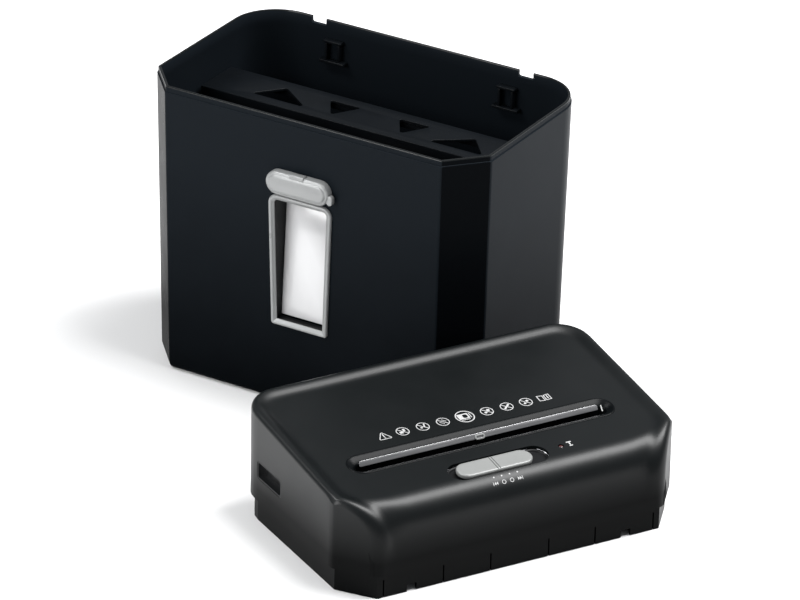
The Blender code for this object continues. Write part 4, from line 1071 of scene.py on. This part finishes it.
def on_cover(cover, x, along):
    """A spot on the cover and its normal, along being measured on the surface from the middle of the slot."""
    def drop(y):
        spot, normal, _, _ = cover.ray_cast(Vector((x, y, 0.2)), Vector((0, 0, -1)))
        return spot, normal if normal.z > 0 else -normal

    spot, normal = drop(SLOT_Y + max(along, FLAT_REACH) * cos(atan(TOP_SLOPE)))
    left = FLAT_REACH - along
    while left > 1e-6:
        stride = min(left, 0.0006)
        lower, normal = drop(spot.y - stride * max(normal.z, 0.3))
        left -= max((lower - spot).length, 1e-5)
        spot = lower
    return spot, normal


def make_signs(cover):
    """Prints the signs on the cover: each follows the surface, a little proud of it."""
    pieces = []
    for loops in sign_shapes():
        mesh = flat_plate([counter_clockwise(loop) for loop in loops], 0, PRINT_THICK, bevel=0)
        for vertex in mesh.vertices:
            spot, normal = on_cover(cover, vertex.co.x, vertex.co.y)
            vertex.co = spot + normal * (PRINT_LIFT + vertex.co.z)
        pieces.append(mesh)
    finished("cover_signs", joined(pieces), "head", "pale_silver", transform=HEAD_FRAME, look=SIGN_LOOK)


# ---- Floor, light and camera ----
def make_stage():
    """A pale matt floor and an even sky."""
    floor = bpy.data.meshes.new("floor")
    r = FLOOR_REACH
    floor.from_pydata([(-r, -r, 0), (r, -r, 0), (r, r, 0), (-r, r, 0)], [], [(0, 1, 2, 3)])
    pale = bpy.data.materials.new("look_floor")
    pale.use_nodes = True
    shader = pale.node_tree.nodes["Principled BSDF"]
    shader.inputs["Base Color"].default_value = FLOOR_COLOUR
    shader.inputs["Roughness"].default_value = 0.9
    floor.materials.append(pale)
    piece = bpy.data.objects.new("floor", floor)
    bpy.context.scene.collection.objects.link(piece)
    piece.location = (0, 0, -FLOOR_DROP)

    world = bpy.data.worlds.new("studio")
    bpy.context.scene.world = world
    world.use_nodes = True
    sky = world.node_tree.nodes["Background"]
    sky.inputs["Color"].default_value = SKY_COLOUR
    sky.inputs["Strength"].default_value = SKY_STRENGTH


def make_light(name, place, target, size, power, along=(1, 0, 0)):
    """A rectangular lamp facing the target, its first side as nearly as it can be along the given way."""
    light = bpy.data.lights.new(name, "AREA")
    light.shape = "RECTANGLE"
    light.size, light.size_y = size
    light.energy = power
    lamp = bpy.data.objects.new(name, light)
    bpy.context.scene.collection.objects.link(lamp)
    back = (Vector(place) - Vector(target)).normalized()
    first = (Vector(along) - back * back.dot(Vector(along))).normalized()
    lamp.matrix_world = (Matrix.Translation(place)
                         @ Matrix((first, back.cross(first), back)).transposed().to_4x4())


def make_camera():
    """A long lens from the front left, looking down at both halves."""
    pitch, turn, roll = CAMERA_PITCH, CAMERA_TURN, CAMERA_ROLL
    ahead = Vector((sin(turn) * cos(pitch), cos(turn) * cos(pitch), -sin(pitch)))
    right = Vector((cos(turn), -sin(turn), 0))
    up = right.cross(ahead)
    side = right * cos(roll) + up * sin(roll)
    top = up * cos(roll) - right * sin(roll)
    lens = bpy.data.cameras.new("camera")
    lens.sensor_width = 36
    lens.lens = CAMERA_LENS
    lens.clip_end = 60
    camera = bpy.data.objects.new("camera", lens)
    bpy.context.scene.collection.objects.link(camera)
    axes = Matrix((side, top, -ahead)).transposed().to_4x4()
    camera.matrix_world = Matrix.Translation(CAMERA_PLACE) @ axes
    bpy.context.scene.camera = camera


make_stage()
make_light("overhead", (0.0, -0.1, 2.6), (0.0, -0.1, 0.0), (2.8, 2.8), 10)
make_light("roll_strip", (1.32, -0.80, 2.70), (-0.05, -0.33, 0.08), (2.6, 1.30), 215)
make_light("left_side", (-1.9, -0.5, 0.8), (-0.05, 0.0, 0.15), (1.0, 1.0), 28, along=(0, 1, 0))
make_light("rim_light", (-1.5, 0.45, 2.15), (0.0, 0.0, 0.25), (1.2, 0.5), 34, along=(0, 1, 0))
make_camera()
bpy.context.scene.view_settings.view_transform = "Standard"
make_bin()
cover_tree = make_cover()
make_slot()
make_slider()
make_grips()
make_signs(cover_tree)
make_cutters()
refine_rest()
